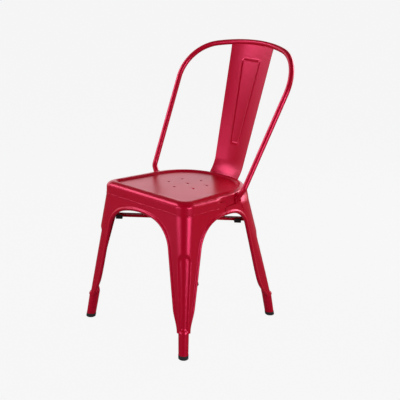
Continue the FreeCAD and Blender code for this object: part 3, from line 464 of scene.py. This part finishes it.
legs = {
    "frontSide": (213.3, 169.5), "frontFace": (215.0, 188.0),  # at the floor, at the skirt
    "rearSide": (179.0, 171.2), "rearFace": (250.5, 139.9),
    "footRadius": 14.5, "jointRadius": 15.4, "joint": 75.0,
    "frontTopRadius": 34.8, "rearTopRadius": 95.0,
    "bulge": 27.8, "leastBulge": 0.02,  # rise of the rear's arc over the rear leg's corners
    "shoulderTop": 428.0, "hugCorner": (60.3, 55.0), "hugRadius": 94.7, "rearApex": 167.7,
    "hugEase": 0.55,  # share of the smooth step in the shoulder's way to the seat
    "flangeTurnIn": 210.0, "beyondAxis": 9.0, "tuck": 18.0,
    "roll": 4.5, "rollFoot": 2.0,  # radius round the arches' edges, on top and at the tube
    "lip": 1.0, "lipFoot": 0.5,  # flat part of the lip behind that radius
    "swell": 6.0, "proud": 4.0,  # the edge first swells outwards: over this width, by this much
    "edgeFade": 70.0,  # height over the joint in which the beaded edge grows
    "crossSplit": 345.0, "besideSplit": 348.0,  # heights where the parts over the shoulders begin
    "sideSeam": -22.0,
    "lifted": ((-22.0, 0.8), (6.0, 2.9), (32.0, 6.7)),  # rise of the rear leg's side flange, by place
    "liftedEnd": 12.0,  # and its rise at the corner
    "fluteDepth": 4.5, "fluteTop": 296.0, "fluteFoot": 80.0, "fluteTopHalf": 21.0, "fluteFootHalf": 13.5,
    "fluteEdge": 7.0, "fluteOutside": 0.15,  # width of its soft edge, and the share outside its outline
    "footRows": 90, "topRows": 46, "flangeCols": 12, "cornerCols": 28,
    "arcRows": 60, "lineRows": 120, "seamRows": 12, "swellRows": 8, "rollRows": 9, "lipRows": 4,
    "tuckRows": 5, "shoulderRows": 14, "liftRows": 4,
}
footTube = {
    "foot": 11.0, "lap": 40.0,  # its lower end, and how far it reaches up inside the leg
    "inset": 0.5, "taper": 0.6, "taperFrom": 8.0, "step": 7.5,
}
arches = {
    # where each arch's bead begins: height of its crown, radii of crown and shoulder, lean of its sides
    "frontLeft": dict(crown=390.0, crownRadius=212.0, shoulderRadius=104.0, crownTurn=15.0, lean=13.2),
    "frontRight": dict(crown=390.0, crownRadius=262.0, shoulderRadius=82.0, crownTurn=17.0, lean=8.2),
    "rear": dict(crown=392.0, crownRadius=131.0, shoulderRadius=95.0, crownTurn=22.0, lean=12.6),
    "sideFront": dict(crown=392.5, crownRadius=275.5, shoulderRadius=107.8, crownTurn=12.0, lean=12.2),
    "sideRear": dict(crown=392.5, crownRadius=120.0, shoulderRadius=77.0, crownTurn=12.0, lean=20.0),
}


def cornerRadius(z, top):
    # Two tapers: floor to the tube's joint, and joint to the skirt
    joint = legs["joint"]
    low = between(legs["footRadius"], legs["jointRadius"], np.minimum(z, joint) / joint)
    return low + (top - legs["jointRadius"]) * np.clip((z - joint) / (chair["skirtFoot"] - joint), 0, 1)


def frontLevel(z):
    # Front leg at heights z: its corner's middle as x and distance along Y, and the corner's radius.
    # Side and face fall straight from skirt to floor.
    t = np.minimum(z, chair["skirtFoot"]) / chair["skirtFoot"]
    radius = cornerRadius(z, legs["frontTopRadius"])
    return between(*legs["frontSide"], t) - radius, between(*legs["frontFace"], t) - radius, radius


def rearLevel(z):
    # The same for the rear leg, and the rear arc's apex. Over the skirt it hugs the seat.
    z = np.asarray(z, float)
    foot, joint, top = chair["skirtFoot"], legs["joint"], legs["shoulderTop"]
    t = np.minimum(z, foot) / foot
    face = between(*legs["rearFace"], t)
    radius = cornerRadius(z, legs["rearTopRadius"])
    bulge = legs["bulge"] * np.clip((z - joint) / (foot - joint), 0, 1) + legs["leastBulge"]
    lift = between(np.clip((z - foot) / (top - foot), 0, 1), ease(z, foot, top), legs["hugEase"])
    cx = between(between(*legs["rearSide"], t) - radius, legs["hugCorner"][0], lift)
    cy = between(face - radius, legs["hugCorner"][1], lift)
    return cx, cy, between(radius, legs["hugRadius"], lift), between(face + bulge, legs["rearApex"], lift)


def rearFace(x, z):
    # Rear surface over (x, z): the corner's circle outside the junction, the wide arc inside it.
    # Gives the distance along Y, and how far the corner's circle turns to the junction.
    cx, cy, radius, apex = rearLevel(z)
    middle, big, degrees = rearSweep(cx, cy, radius, apex)
    turn = np.radians(degrees)
    wide = middle + np.sqrt(np.maximum(big ** 2 - x ** 2, 0))
    tight = cy + np.sqrt(np.maximum(radius ** 2 - (x - cx) ** 2, 0))
    return np.where(x <= big * np.cos(turn), wide, tight), turn


def cornerAt(sign, z):
    # A leg's corner at heights z. The sign is -1 for a front leg, whose face looks along -Y, and 1 for
    # a rear leg.
    return rearLevel(z)[:3] if sign > 0 else frontLevel(z)


def facePoints(sign, x, z):
    # Points on a leg's front or rear face
    if sign > 0:
        return np.stack([x, rearFace(x, z)[0], z], -1)
    _, cy, radius = frontLevel(z)
    return np.stack([x, -(cy + radius + 0 * x), z], -1)


def sidePoints(sign, v, z):
    # Points on a leg's side; v is the distance along Y
    cx, _, radius = cornerAt(sign, z)
    return np.stack([cx + radius + 0 * v, sign * v, z], -1)


def crownHeight(form, v):
    # Height of an arch's crown over the distance v: its middle plus the root of (radius^2 - v^2)
    return form["crown"] - form["crownRadius"] + np.sqrt(form["crownRadius"] ** 2 - v ** 2)


def archLine(form, axisAt):
    # From the arch's crown down: crown arc, shoulder arc, leaning line, then in to the tube's axis.
    # Gives points (distance from the arch's middle, height).
    r1, r2, lean, turn = [form[k] for k in ("crownRadius", "shoulderRadius", "lean", "crownTurn")]
    joint, turnIn = legs["joint"], legs["flangeTurnIn"]
    top = np.array([0, form["crown"] - r1])
    second = top + (r1 - r2) * np.array([np.sin(np.radians(turn)), np.cos(np.radians(turn))])
    crown = circlePart(top, r1, 90, 90 - turn, legs["arcRows"])
    shoulder = circlePart(second, r2, 90 - turn, lean, legs["arcRows"])[1:]
    x, high = shoulder[-1]
    z = np.linspace(high, joint, legs["lineRows"])[1:]
    line = x + (high - z) * np.tan(np.radians(lean))
    pull = ((turnIn - z) / (turnIn - joint)).clip(0, 1) ** 3
    line = between(line, axisAt(z) - legs["beyondAxis"], pull)
    return np.concatenate([crown, shoulder, np.stack([line, z], -1)])


def splitArch(line, height):
    # The arch's line upwards as two runs: foot to the given height, and on to the seam. Points near the
    # crown stay out of the search for that height.
    upward = line[::-1]
    split = np.argmin(np.abs(upward[:, 1] - height) + (upward[:, 0] < 20) * 1e3)
    foot = alongCurve(upward[:split + 1], np.linspace(0, 1, legs["footRows"]))
    top = alongCurve(upward[split:], np.linspace(0, 1, legs["topRows"]))
    return foot, top


def archRuns(sign, hand):
    # Foot and top runs of the arch across the chair, then of the side arch, each up to its seam
    seam, sideFront = chair["seam"], arches["sideFront"]
    cross = arches["rear" if sign > 0 else "front" + hand]
    crossLine = archLine(cross, lambda z: cornerAt(sign, z)[0])
    crossLine = crossLine[crossLine[:, 0] >= seam]
    crossLine = np.concatenate([[[seam, cross["crown"]]], crossLine])
    besideLine = archLine(arches["sideRear"] if sign > 0 else sideFront, lambda z: cornerAt(sign, z)[1])
    if sign > 0:
        start = np.linspace(legs["sideSeam"] + seam, -0.5, legs["seamRows"])
    else:
        start = np.array([seam - legs["sideSeam"]])
        besideLine = besideLine[besideLine[:, 0] > start[0]]
    besideLine = np.concatenate([np.stack([start, crownHeight(sideFront, start)], -1), besideLine])
    return *splitArch(crossLine, legs["crossSplit"]), *splitArch(besideLine, legs["besideSplit"])


def rollAt(points, inward, toOpening):
    # Beaded edge: a smooth step outwards, then r sin(a) towards the opening with r (1 - cos(a)) inwards,
    # then a flat lip. It grows from the tube's joint upwards.
    grown = ease(points[:, 2], legs["joint"], legs["joint"] + legs["edgeFade"])[:, None, None]
    radius = between(legs["rollFoot"], legs["roll"], grown)
    lip = between(legs["lipFoot"], legs["lip"], grown)
    inward, toOpening = inward[:, None], toOpening[:, None]
    t = np.linspace(0, 1, legs["swellRows"])[None, :, None]
    a = np.radians(np.linspace(0, 90, legs["rollRows"]))[None, 1:, None]
    swell = points[:, None] + toOpening * legs["swell"] * grown * t
    swell = swell - inward * legs["proud"] * grown * t * t * (3 - 2 * t)
    turned = swell[:, -1:] + toOpening * radius * np.sin(a) + inward * radius * (1 - np.cos(a))
    flat = turned[:, -1:] + inward * lip * np.linspace(0.25, 1, legs["lipRows"])[None, :, None]
    return np.concatenate([swell, turned, flat], 1)


def sideRoll(sign, line):
    # Beaded edge of the side arch; the opening lies left of the run's upward tangent
    t = unit(np.gradient(line, axis=0))
    toOpening = np.stack([0 * t[:, 0], -sign * t[:, 1], t[:, 0]], -1)
    inward = np.broadcast_to([-1.0, 0, 0], (len(line), 3))
    return rollAt(sidePoints(sign, line[:, 0], line[:, 1]), inward, toOpening)


def faceRoll(sign, line):
    # The same for the arch across the chair, with the normal from the face's slopes along x and z
    t = unit(np.gradient(line, axis=0))
    x, z, step = line[:, 0], line[:, 1], 0.5
    faceAt = lambda x, z: sign * facePoints(sign, x, z)[:, 1]
    slopeX = (faceAt(x + step, z) - faceAt(np.maximum(x - step, 0), z)) / (2 * step)
    slopeZ = (faceAt(x, z + step) - faceAt(x, z - step)) / (2 * step)
    inward = unit(np.stack([slopeX, -np.ones(len(x)), slopeZ], -1)) * np.array([1, sign, 1])
    toOpening = np.stack([-t[:, 1], sign * (slopeZ * t[:, 0] - slopeX * t[:, 1]), t[:, 0]], -1)
    return rollAt(facePoints(sign, x, z), inward, unit(toOpening))


def flute(z, across):
    # Depth of the pressed flute: a tapered finger with a round top, soft at its edge
    share = (z - legs["fluteFoot"]) / (legs["fluteTop"] - legs["fluteFoot"])
    half = between(legs["fluteFootHalf"], legs["fluteTopHalf"], share)
    up = z - (legs["fluteTop"] - half)
    topRound = np.hypot(np.maximum(up, 0), np.abs(across)) - half
    distance = np.maximum(np.where(up > 0, topRound, np.abs(across) - half), (legs["fluteFoot"] - z) * 0.8)
    outside = legs["fluteEdge"] * legs["fluteOutside"]
    return legs["fluteDepth"] * ease(-distance, -outside, legs["fluteEdge"] - outside)


def acrossFlange(start, end):
    # Flat sheet between two runs of points, row by row from one to the other; gives both coordinates
    rows = between(start[:, None], end[:, None], np.linspace(0, 1, legs["flangeCols"])[None, :, None])
    return rows[..., 0], rows[..., 1]


def stripPatch(sign, crossFoot, besideFoot):
    # The strip round the corner, row by row up the leg: side roll, side flange, corner, face flange and
    # face roll. Gives it with its corner.
    z = np.linspace(legs["joint"], chair["skirtFoot"], legs["footRows"])
    cx, cy, radius = cornerAt(sign, z)
    turn = rearFace(0 * z, z)[1] if sign > 0 else np.full(len(z), np.pi / 2)
    angle = np.linspace(0, 1, legs["cornerCols"])[None] * turn[:, None]
    height = np.broadcast_to(z[:, None], angle.shape)
    reach = radius[:, None] - flute(height, radius[:, None] * (angle - np.pi / 4))
    x = cx[:, None] + reach * np.cos(angle)
    corner = np.stack([x, sign * (cy[:, None] + reach * np.sin(angle)), height], -1)
    sideFlange = sidePoints(sign, *acrossFlange(besideFoot, np.stack([cy, z], -1)))
    sideFlange[:, -1] = corner[:, 0]
    inner = np.stack([cx + radius * np.cos(turn), z], -1)
    faceFlange = facePoints(sign, *acrossFlange(inner, crossFoot))
    strip = np.concatenate([sideRoll(sign, besideFoot)[:, ::-1], sideFlange[:, 1:], corner[:, 1:],
                            faceFlange[:, 1:], faceRoll(sign, crossFoot)[:, 1:]], 1)
    return strip, corner


def tuckPatch(corner, topX, sideV):
    # The front leg's sheet goes straight on upwards behind the skirt
    foot = chair["skirtFoot"]
    x = np.concatenate([np.full(len(sideV), corner[0, 0]), corner[1:, 0], topX[1:]])
    y = np.concatenate([-sideV[::-1], corner[1:, 1], np.full(len(topX) - 1, corner[-1, 1])])
    return np.stack([np.stack([x, y, np.full(len(x), h)], -1)
                     for h in np.linspace(foot, foot + legs["tuck"], legs["tuckRows"])])


def shoulderPatch(corner, faceEdge, along):
    # The rear leg's shoulder over the skirt, level by level: the corner's circle, then the wide arc to
    # the seam. Its first level is the upper edge of the parts below.
    levels = []
    for h in np.linspace(chair["skirtFoot"], legs["shoulderTop"], legs["shoulderRows"]):
        cx, cy, radius = [float(v) for v in rearLevel(h)[:3]]
        a = np.linspace(0, 1, len(corner)) * float(rearFace(0.0, h)[1])
        bend = np.stack([cx + radius * np.cos(a), cy + radius * np.sin(a), np.full(len(a), h)], -1)
        x = between(bend[-1, 0], chair["seam"], along)[1:]
        levels.append(np.concatenate([bend, facePoints(1, x, np.full(len(x), h))]))
    levels[0] = np.concatenate([corner, faceEdge[1:]])
    return np.stack(levels)


def liftedFlange(x, sideV):
    # The rear leg's side flange rises a little towards the corner: its rise is read off by place
    places, heights = zip(*legs["lifted"])
    rise = np.interp(sideV, [*places, sideV[0]], [*heights, legs["liftedEnd"]])
    across = np.full(len(sideV), x)
    return np.stack([np.stack([across, sideV, chair["skirtFoot"] + rise * t], -1)
                     for t in np.linspace(0, 1, legs["liftRows"])])


def legPatches(sign, hand):
    # One pressed leg on the +X side: a strip with both rolled edges round the corner, the two parts
    # over the arches' shoulders, and the sheet over the skirt's lower edge
    crossFoot, crossTop, besideFoot, besideTop = archRuns(sign, hand)
    strip, corner = stripPatch(sign, crossFoot, besideFoot)
    corner = corner[-1]
    along = np.linspace(0, 1, legs["topRows"])
    foot = np.full(len(along), chair["skirtFoot"])
    topX = between(corner[-1, 0], chair["seam"], along)
    faceTop = facePoints(sign, *acrossFlange(np.stack([topX, foot], -1), crossTop))
    faceTop = np.concatenate([faceTop, faceRoll(sign, crossTop)[:, 1:]], 1)
    sideV = between(sign * corner[0, 1], besideTop[-1, 0], along)
    sideTop = sidePoints(sign, *acrossFlange(besideTop, np.stack([sideV, foot], -1)))
    sideTop = np.concatenate([sideRoll(sign, besideTop)[:, ::-1], sideTop[:, 1:]], 1)
    patches = [(patch, False, sign > 0) for patch in (strip, faceTop, sideTop)]
    if sign < 0:
        return patches + [(tuckPatch(corner, topX, sideV), False, False)]
    shoulder = shoulderPatch(corner, faceTop[:, 0], along)
    return patches + [(shoulder, False, True), (liftedFlange(corner[0, 0], sideV), False, False)]


def tubePatch(sign):
    # Round foot tube inside the leg's lower end, on the corner's own axis. Over the joint it follows the
    # flute and slims down behind the sheet.
    joint = legs["joint"]
    top = joint + footTube["lap"]
    z = np.concatenate([np.linspace(footTube["foot"], joint, 16), np.linspace(joint, top, 12)[1:]])
    cx, cy, radius = cornerAt(sign, z)
    tube = np.minimum(radius, legs["jointRadius"])
    slim = (tube - footTube["inset"]) * (1 - footTube["taper"] * ease(z, joint + footTube["taperFrom"], top))
    shift = (radius - tube) / np.sqrt(2)
    a = np.radians(np.arange(0, 360, footTube["step"]))
    across = radius[:, None] * ((a - np.pi / 4 + np.pi) % (2 * np.pi) - np.pi)
    height = np.broadcast_to(z[:, None], across.shape)
    reach = slim[:, None] - flute(height, across) * (height > joint)
    x = (cx + shift)[:, None] + reach * np.cos(a)
    y = (cy + shift)[:, None] + reach * np.sin(a)
    return np.stack([x, sign * y, height], -1)


def makeLegs():
    # Four legs and their foot tubes; the right ones are mirror images, and each front leg has its own
    # arch edge
    for sign, end in ((-1, "front"), (1, "rear")):
        tube = [(tubePatch(sign), True, sign < 0)]
        for hand in ("Left", "Right"):
            sheet = legPatches(sign, hand)
            if hand == "Right":
                sheet, tube = mirrorPatches(sheet), mirrorPatches(tube)
            node = "%s_%s_leg" % (end, hand.lower())
            makePiece("%sLeg%s" % (end, hand), sheet, redCoat, (node,), chair["sheet"])
            makePiece("%sFootTube%s" % (end, hand), tube, redCoat, (), chair["sheet"])


makeLegs()
print("legs are ready")


# Back hoop

hoop = {
    "radius": 8.0,
    "end": (161.5, 36.0, 403.0), "drop": 12.0,
    "kink": (184.1, 41.2, 449.5), "kinkBend": 25.0,
    "corner": (223.5, 211.7, 810.7), "cornerBend": 134.5,
    "top": (0.0, 281.2, 842.0),
    "firstAngle": 0.4, "rounds": 60,  # start and length of the search for the top arc's angle
    "kinkRows": 10, "runRows": 40, "cornerRows": 60, "topRows": 40, "around": 40,
    "across": (0, 0.9, -0.43),  # a ring's first axis is the path's heading crossed with this
}


def bendPoints(before, at, after, radius, count):
    # Arc that rounds a corner: it leaves each side at radius / tan(half the angle) from the corner
    back, ahead = unit(before - at), unit(after - at)
    half = np.arccos(np.clip(back @ ahead, -1, 1)) / 2
    reach = radius / np.tan(half)
    centre = at + unit(back + ahead) * (radius / np.sin(half))
    first = unit(at + back * reach - centre)
    last = unit(at + ahead * reach - centre)
    sweep = np.arccos(np.clip(first @ last, -1, 1))
    s = np.linspace(0, 1, count)[:, None]
    arc = (np.sin((1 - s) * sweep) * first + np.sin(s * sweep) * last) / np.sin(sweep)
    return centre + arc * radius


def hoopTopArc():
    # The top's arc leaves its middle along X and reaches the upper bend: its angle is found by
    # halving the step to twice the arctangent of the bend's start, seen from the middle
    corner, top, kink = [np.array(hoop[k]) for k in ("corner", "top", "kink")]
    across = np.array([1.0, 0, 0])
    down = unit(np.array([0, corner[1] - top[1], corner[2] - top[2]]))
    angle = hoop["firstAngle"]
    for _ in range(hoop["rounds"]):
        leaving = across * np.cos(angle) + down * np.sin(angle)
        turn = np.arccos(leaving @ unit(kink - corner))
        end = corner - leaving * hoop["cornerBend"] * np.tan(turn / 2)
        angle = (angle + 2 * np.arctan2((end - top) @ down, (end - top) @ across)) / 2
    return end, down, ((end - top) @ across) / np.sin(angle), angle


def hoopPath():
    # Centreline from one end to the other: each half is the upright's two small bends, a straight run,
    # the upper bend and half of the top's arc
    end, kink, corner, top = [np.array(hoop[k]) for k in ("end", "kink", "corner", "top")]
    low = end + np.array([0, 0, hoop["drop"]])
    arcEnd, down, radius, angle = hoopTopArc()
    a = np.linspace(angle, 0, hoop["topRows"])[:, None]
    topArc = top + np.array([1.0, 0, 0]) * radius * np.sin(a) + down * radius * (1 - np.cos(a))
    first = bendPoints(end, low, kink, hoop["kinkBend"], hoop["kinkRows"])
    second = bendPoints(low, kink, corner, hoop["kinkBend"], hoop["kinkRows"])
    third = bendPoints(kink, corner, arcEnd, hoop["cornerBend"], hoop["cornerRows"])
    run = between(second[-1], third[0], np.linspace(0, 1, hoop["runRows"])[1:-1, None])
    half = np.concatenate([[end], first, second, run, third, topArc[1:]])
    return np.concatenate([half, (half * np.array([-1, 1, 1]))[-2::-1]])


def ringsAlong(path, ahead, plane, radius, around):
    # A circle across the path's tangent at each of its points: middle + r (aside cos a + over sin a)
    aside = unit(np.cross(ahead, plane))
    over = np.cross(aside, ahead)
    a = np.radians(np.linspace(0, 360, around + 1)[:-1])[None, :, None]
    return path[:, None] + radius * (aside[:, None] * np.cos(a) + over[:, None] * np.sin(a))


def hoopTube():
    # The tube along its centreline, with a ring drawn together at the middle of each end to close it
    path = hoopPath()
    ahead = unit(np.gradient(path, axis=0))
    rings = ringsAlong(path, ahead, np.array(hoop["across"]), hoop["radius"], hoop["around"])
    ends = np.repeat(rings[[0, -1]].mean(1, keepdims=True), rings.shape[1], 1)
    return np.concatenate([ends[:1], rings, ends[1:]])


makePiece("backHoop", [(hoopTube(), True, True)], redCoat, ("back_hoop",), sharp=60)
print("hoop is ready")


weld = {
    "middle": (36.0, 420.0), "half": (10.5, 14.5),  # ellipse on the side wall: its middle and half-lengths
    "radius": 2.9, "lumps": 0.5, "pitch": 5.6,  # bead's radius, how lumpy it is, length of a lump
    "around": 180, "sides": 12,
}


def weldBead():
    # Lumpy bead where the hoop's tube leaves the seat's side wall: an ellipse on that wall, its radius
    # r times 1 plus a sum of two sines along its length
    a = np.radians(np.linspace(0, 360, weld["around"] + 1))
    y = weld["middle"][0] + weld["half"][0] * np.cos(a)
    z = weld["middle"][1] + weld["half"][1] * np.sin(a)
    low, high = chair["skirtFoot"], chair["rim"] - seat["rollRear"]
    x = between(seat["wallReach"], seat["rimSide"], ((z - low) / (high - low)).clip(0, 1))
    loop = np.stack([x, y, z], -1)
    lumps = np.round(np.linalg.norm(np.diff(loop, axis=0), axis=1).sum() / weld["pitch"])
    wave = np.sin(lumps * a) + 0.5 * np.sin((lumps - 3) * a + 1.0)
    radius = weld["radius"] * (1 + weld["lumps"] * wave[:-1, None, None])
    loop = loop[:-1]
    ahead = unit(np.roll(loop, -1, 0) - np.roll(loop, 1, 0))
    rings = ringsAlong(loop, ahead, np.array([1.0, 0, 0]), radius, weld["sides"])
    return [(np.concatenate([rings, rings[:1]]), True, True)]


makePiece("hoopWeldLeft", weldBead(), redCoat, sharp=80)
makePiece("hoopWeldRight", mirrorPatches(weldBead()), redCoat, sharp=80)
print("welds are ready")


# Back splat

splat = {
    "topHalf": 82.4, "lowHalf": 58.3, "low": (195.8, 480.0),
    "bow": 300.0, "lowBow": 213.0,
    "bend": 120.0, "slope": 37.0, "heel": 25.0, "tail": 22.0, "tailY": 167.9,
    "ridgeHeight": 2.2, "ridgeHalf": 2.8, "ridgeRound": 9.0,
    "ridgeTop": 788.5, "ridgeFoot": 531.5, "ridgeTopHalf": 34.0, "ridgeFootHalf": 15.0,
    "ridgeSpread": 0.62, "ridgeLeast": 0.55,  # softness of its edge; cap on its rounding, as shares
    "topSink": 1.0, "topUnder": 1.2,  # how far its edge lies in the tube, and under the tube's top
    "topFade": 30.0,  # length down the sheet in which the top's bend dies out
    "rows": (150, 18, 10, 14, 6), "columns": 121, "wall": 1.5,
}


def splatSpine():
    # Heading and place down the splat's middle: straight, forward bend, slope, heel, upright tail
    top, low = np.array(hoop["top"][1:]), np.array(splat["low"])
    lean = np.degrees(np.arctan2(top[0] - low[0], top[1] - low[1]))
    reach = hoop["radius"] - splat["topSink"]
    slope, s = splat["slope"], np.radians(splat["slope"])
    bendEnd = low[0] - splat["bend"] * (np.cos(np.radians(lean)) - np.cos(s))
    heelRun = splat["heel"] * (1 - np.cos(s))
    pieces = [(np.linalg.norm(top - low) - reach, lean, lean),
              (splat["bend"] * np.radians(slope - lean), lean, slope),
              ((bendEnd - heelRun - splat["tailY"] - splat["wall"]) / np.sin(s), slope, slope),
              (splat["heel"] * s, slope, 0), (splat["tail"], 0, 0)]
    steps, headings, share = [], [], []
    for (length, start, end), count in zip(pieces, splat["rows"]):
        t = (np.arange(count) + 0.5) / count
        steps.append(np.full(count, length / count))
        headings.append(between(start, end, t))
        share.append((np.arange(count) + 1) / count if not share else np.ones(count))
    steps, headings, share = [np.concatenate(v) for v in (steps, headings, share)]
    a = np.radians(headings)
    down = unit(low - top)
    first = top + down * reach
    moves = np.stack([-np.sin(a), -np.cos(a)], -1) * steps[:, None]
    places = np.concatenate([[first], first + np.cumsum(moves, 0)])
    share = np.concatenate([[0.0], share])
    nodeHeading = np.concatenate([[headings[0]], (headings[:-1] + headings[1:]) / 2, [headings[-1]]])
    return places, nodeHeading, share, np.concatenate([[0], np.cumsum(steps)])


def ridgeDistance(x, z):
    # Signed distance to a tapered outline with rounded corners
    r = splat["ridgeRound"]
    t = (z - splat["ridgeFoot"]) / (splat["ridgeTop"] - splat["ridgeFoot"])
    half = between(splat["ridgeFootHalf"], splat["ridgeTopHalf"], t)
    middle = (splat["ridgeTop"] + splat["ridgeFoot"]) / 2
    tall = (splat["ridgeTop"] - splat["ridgeFoot"]) / 2
    r = np.minimum(r, half * splat["ridgeLeast"])
    px = np.abs(x) - half + r
    pz = np.abs(z - middle) - tall + r
    return np.hypot(np.maximum(px, 0), np.maximum(pz, 0)) + np.minimum(np.maximum(px, pz), 0) - r


def splatSheet():
    # Bowed sheet: the edges come forward by the bow's sag, the outline stands proud
    places, headings, share, lengths = splatSpine()
    half = between(splat["topHalf"], splat["lowHalf"], share)[:, None]
    bow = between(splat["bow"], splat["lowBow"], share)[:, None]
    x = half * np.linspace(-1, 1, splat["columns"])
    sag = bow - np.sqrt(bow ** 2 - x ** 2)
    a = np.radians(headings)[:, None]
    normalY, normalZ = np.cos(a), -np.sin(a)
    z = places[:, 1:] - normalZ * sag
    soft = splat["ridgeHalf"] * splat["ridgeSpread"]
    ridge = splat["ridgeHeight"] * np.exp(-(ridgeDistance(x, z) / soft) ** 2)
    ridge = np.where(share[:, None] < 1, ridge, 0)
    y = places[:, :1] - normalY * (sag + ridge)
    z = places[:, 1:] - normalZ * (sag + ridge)
    # The top edge follows the hoop's bowed tube
    _, down, radius, _ = hoopTopArc()
    tubeZ = hoop["top"][2] + down[2] * (radius - np.sqrt(radius ** 2 - x[0] ** 2))
    fall = np.maximum(z[0] - (tubeZ - hoop["radius"] + splat["topUnder"]), 0)
    fade = np.clip(1 - lengths / splat["topFade"], 0, 1)[:, None]
    lean = np.radians(headings[0])
    y = y - fall * fade * np.tan(lean)
    z = z - fall * fade
    return np.stack([np.broadcast_to(x, z.shape), y, z], -1)


makePiece("backSplat", [(splatSheet(), False, False)], redCoat, ("back_splat",), splat["wall"])
print("splat is ready")


# Pieces kept from the solids

# The brace bars take the duller red copy, painted shade for their place under the seat; bumpers and caps take
# black
for start, look in (("brace_", shadedDullCoat), ("stacking_bumper", blackPlastic), ("foot_cap", blackRubber)):
    for thing in bpy.data.objects:
        if thing.name.startswith(start):
            thing.data.materials.clear()
            thing.data.materials.append(look)


# Floor, light and camera

studio = {
    "backdrop": 0.913,  # what the camera sees round the object
    "floorHalf": 60.0,  # metres from the middle to the floor's edge
    "floorColour": (0.26, 0.26, 0.26, 1),
    "floorGlow": 1.0,  # white that the camera sees in the floor, mixed with the lit floor
    "floorShare": 0.09,  # the lit floor's share, which carries the shadow
    "front": 0.09,  # world light from the front and sides
    "rear": 1.5,  # world light low down behind
    "upper": (0.32, 0.50),  # heights between which that light fades
    "behind": (-0.66, 0.75, 0.0), "behindStep": (-0.1, 0.6),  # its direction, and where it sets in
    "lights": (  # name, place, height it looks at, width, height, power
        ("frontLeftSoftbox", (-1.9, -1.65, 2.1), 0.4, 1.9, 1.0, 31.0),
        ("leftFillSoftbox", (-0.6, -3.0, 0.55), 0.35, 2.2, 0.9, 27.0),
        ("rearRightSoftbox", (0.65, 2.25, 1.55), 0.4, 1.9, 0.8, 32.0),
        ("frontRightSoftbox", (2.8, -0.3, 0.8), 0.4, 1.4, 1.4, 38.0),
    ),
}


def makeFloor():
    # Pale floor: the camera sees the backdrop's white, darkened by the share of light the object holds
    # off; other rays see a plain matt floor
    points = studio["floorHalf"] * np.array([[-1, -1, 0], [1, -1, 0], [1, 1, 0], [-1, 1, 0]])
    mesh = bpy.data.meshes.new("floor")
    mesh.from_pydata(points.tolist(), [], [[0, 1, 2, 3]])
    floor = bpy.data.objects.new("floor", mesh)
    bpy.context.scene.collection.objects.link(floor)
    material, bench = newMaterial("paleFloor")
    lit = bench.node("ShaderNodeBsdfDiffuse", {}, {"Color": studio["floorColour"]})
    glow = bench.node("ShaderNodeEmission", {}, {"Color": (1, 1, 1, 1), "Strength": studio["floorGlow"]})
    isCamera = bench.node("ShaderNodeLightPath", output="Is Camera Ray")
    mixed = bench.node("ShaderNodeMixShader", {}, {0: isCamera * (1 - studio["floorShare"]), 1: lit, 2: glow})
    bench.node("ShaderNodeOutputMaterial", {}, {"Surface": mixed})
    mesh.materials.append(material)


def makeWorld():
    # Soft room: bright behind the object, quieter in front; the camera sees the even backdrop
    world = bpy.data.worlds.new("studioRoom")
    world.use_nodes = True
    bpy.context.scene.world = world
    bench = Bench(world.node_tree)
    direction = bench.node("ShaderNodeTexCoord", output="Generated")
    axis = bench.node("ShaderNodeVectorMath", {"operation": "DOT_PRODUCT"},
                      {0: direction, 1: studio["behind"]}, output="Value")
    behind = bench.fade(axis, studio["behindStep"], 0.0, 1.0)
    height = bench.node("ShaderNodeSeparateXYZ", {}, {"Vector": direction}, output="Z")
    low = bench.fade(height, studio["upper"], 1.0, 0.0)
    strength = studio["front"] + behind * low * (studio["rear"] - studio["front"])
    isCamera = bench.node("ShaderNodeLightPath", output="Is Camera Ray")
    seen = strength + isCamera * (studio["backdrop"] - strength)
    light = bench.node("ShaderNodeBackground", {}, {"Color": (1, 1, 1, 1), "Strength": seen})
    bench.node("ShaderNodeOutputWorld", {}, {"Surface": light})


def areaLight(name, place, target, width, height, power):
    # Rectangular lamp at a place, turned so that its -Z looks along target minus place; the target is a
    # height over the origin
    light = bpy.data.lights.new(name, "AREA")
    light.shape = "RECTANGLE"
    light.size, light.size_y, light.energy = width, height, power
    thing = bpy.data.objects.new(name, light)
    thing.location = place
    thing.rotation_euler = (Vector((0, 0, target)) - Vector(place)).to_track_quat("-Z", "Y").to_euler()
    bpy.context.scene.collection.objects.link(thing)


def makeCamera():
    # Fitted to the photograph: azimuth, elevation, distance, offsets in the view and roll
    view = {"azimuth": 41.80945, "elevation": 15.55559, "distance": 2492.7144, "right": 39.09745,
            "up": -29.50343, "roll": 2.835675, "focalPixels": 832.3517, "target": 415.8,
            "framePixels": 400, "sensor": 36.0}
    az, el, roll = [math.radians(view[k]) for k in ("azimuth", "elevation", "roll")]
    back = np.array([math.sin(az) * math.cos(el), -math.cos(az) * math.cos(el), math.sin(el)])
    right = np.array([math.cos(az), math.sin(az), 0.0])
    up = np.cross(back, right)
    eye = np.array([0, 0, view["target"]]) + right * view["right"] + up * view["up"] + back * view["distance"]
    turnedRight = math.cos(roll) * right + math.sin(roll) * up
    turnedUp = -math.sin(roll) * right + math.cos(roll) * up
    camera = bpy.data.cameras.new("photoCamera")
    camera.sensor_width = view["sensor"]
    camera.lens = view["focalPixels"] / view["framePixels"] * view["sensor"]
    thing = bpy.data.objects.new("photoCamera", camera)
    thing.matrix_world = Matrix([[*row, place] for row, place in zip(
        np.stack([turnedRight, turnedUp, back], 1).tolist(), toFrame(eye).tolist())] + [[0, 0, 0, 1]])
    bpy.context.scene.collection.objects.link(thing)
    bpy.context.scene.camera = thing


makeFloor()
makeWorld()
for row in studio["lights"]:
    areaLight(*row)
makeCamera()
bpy.context.scene.view_settings.view_transform = "Standard"
print("studio is ready")
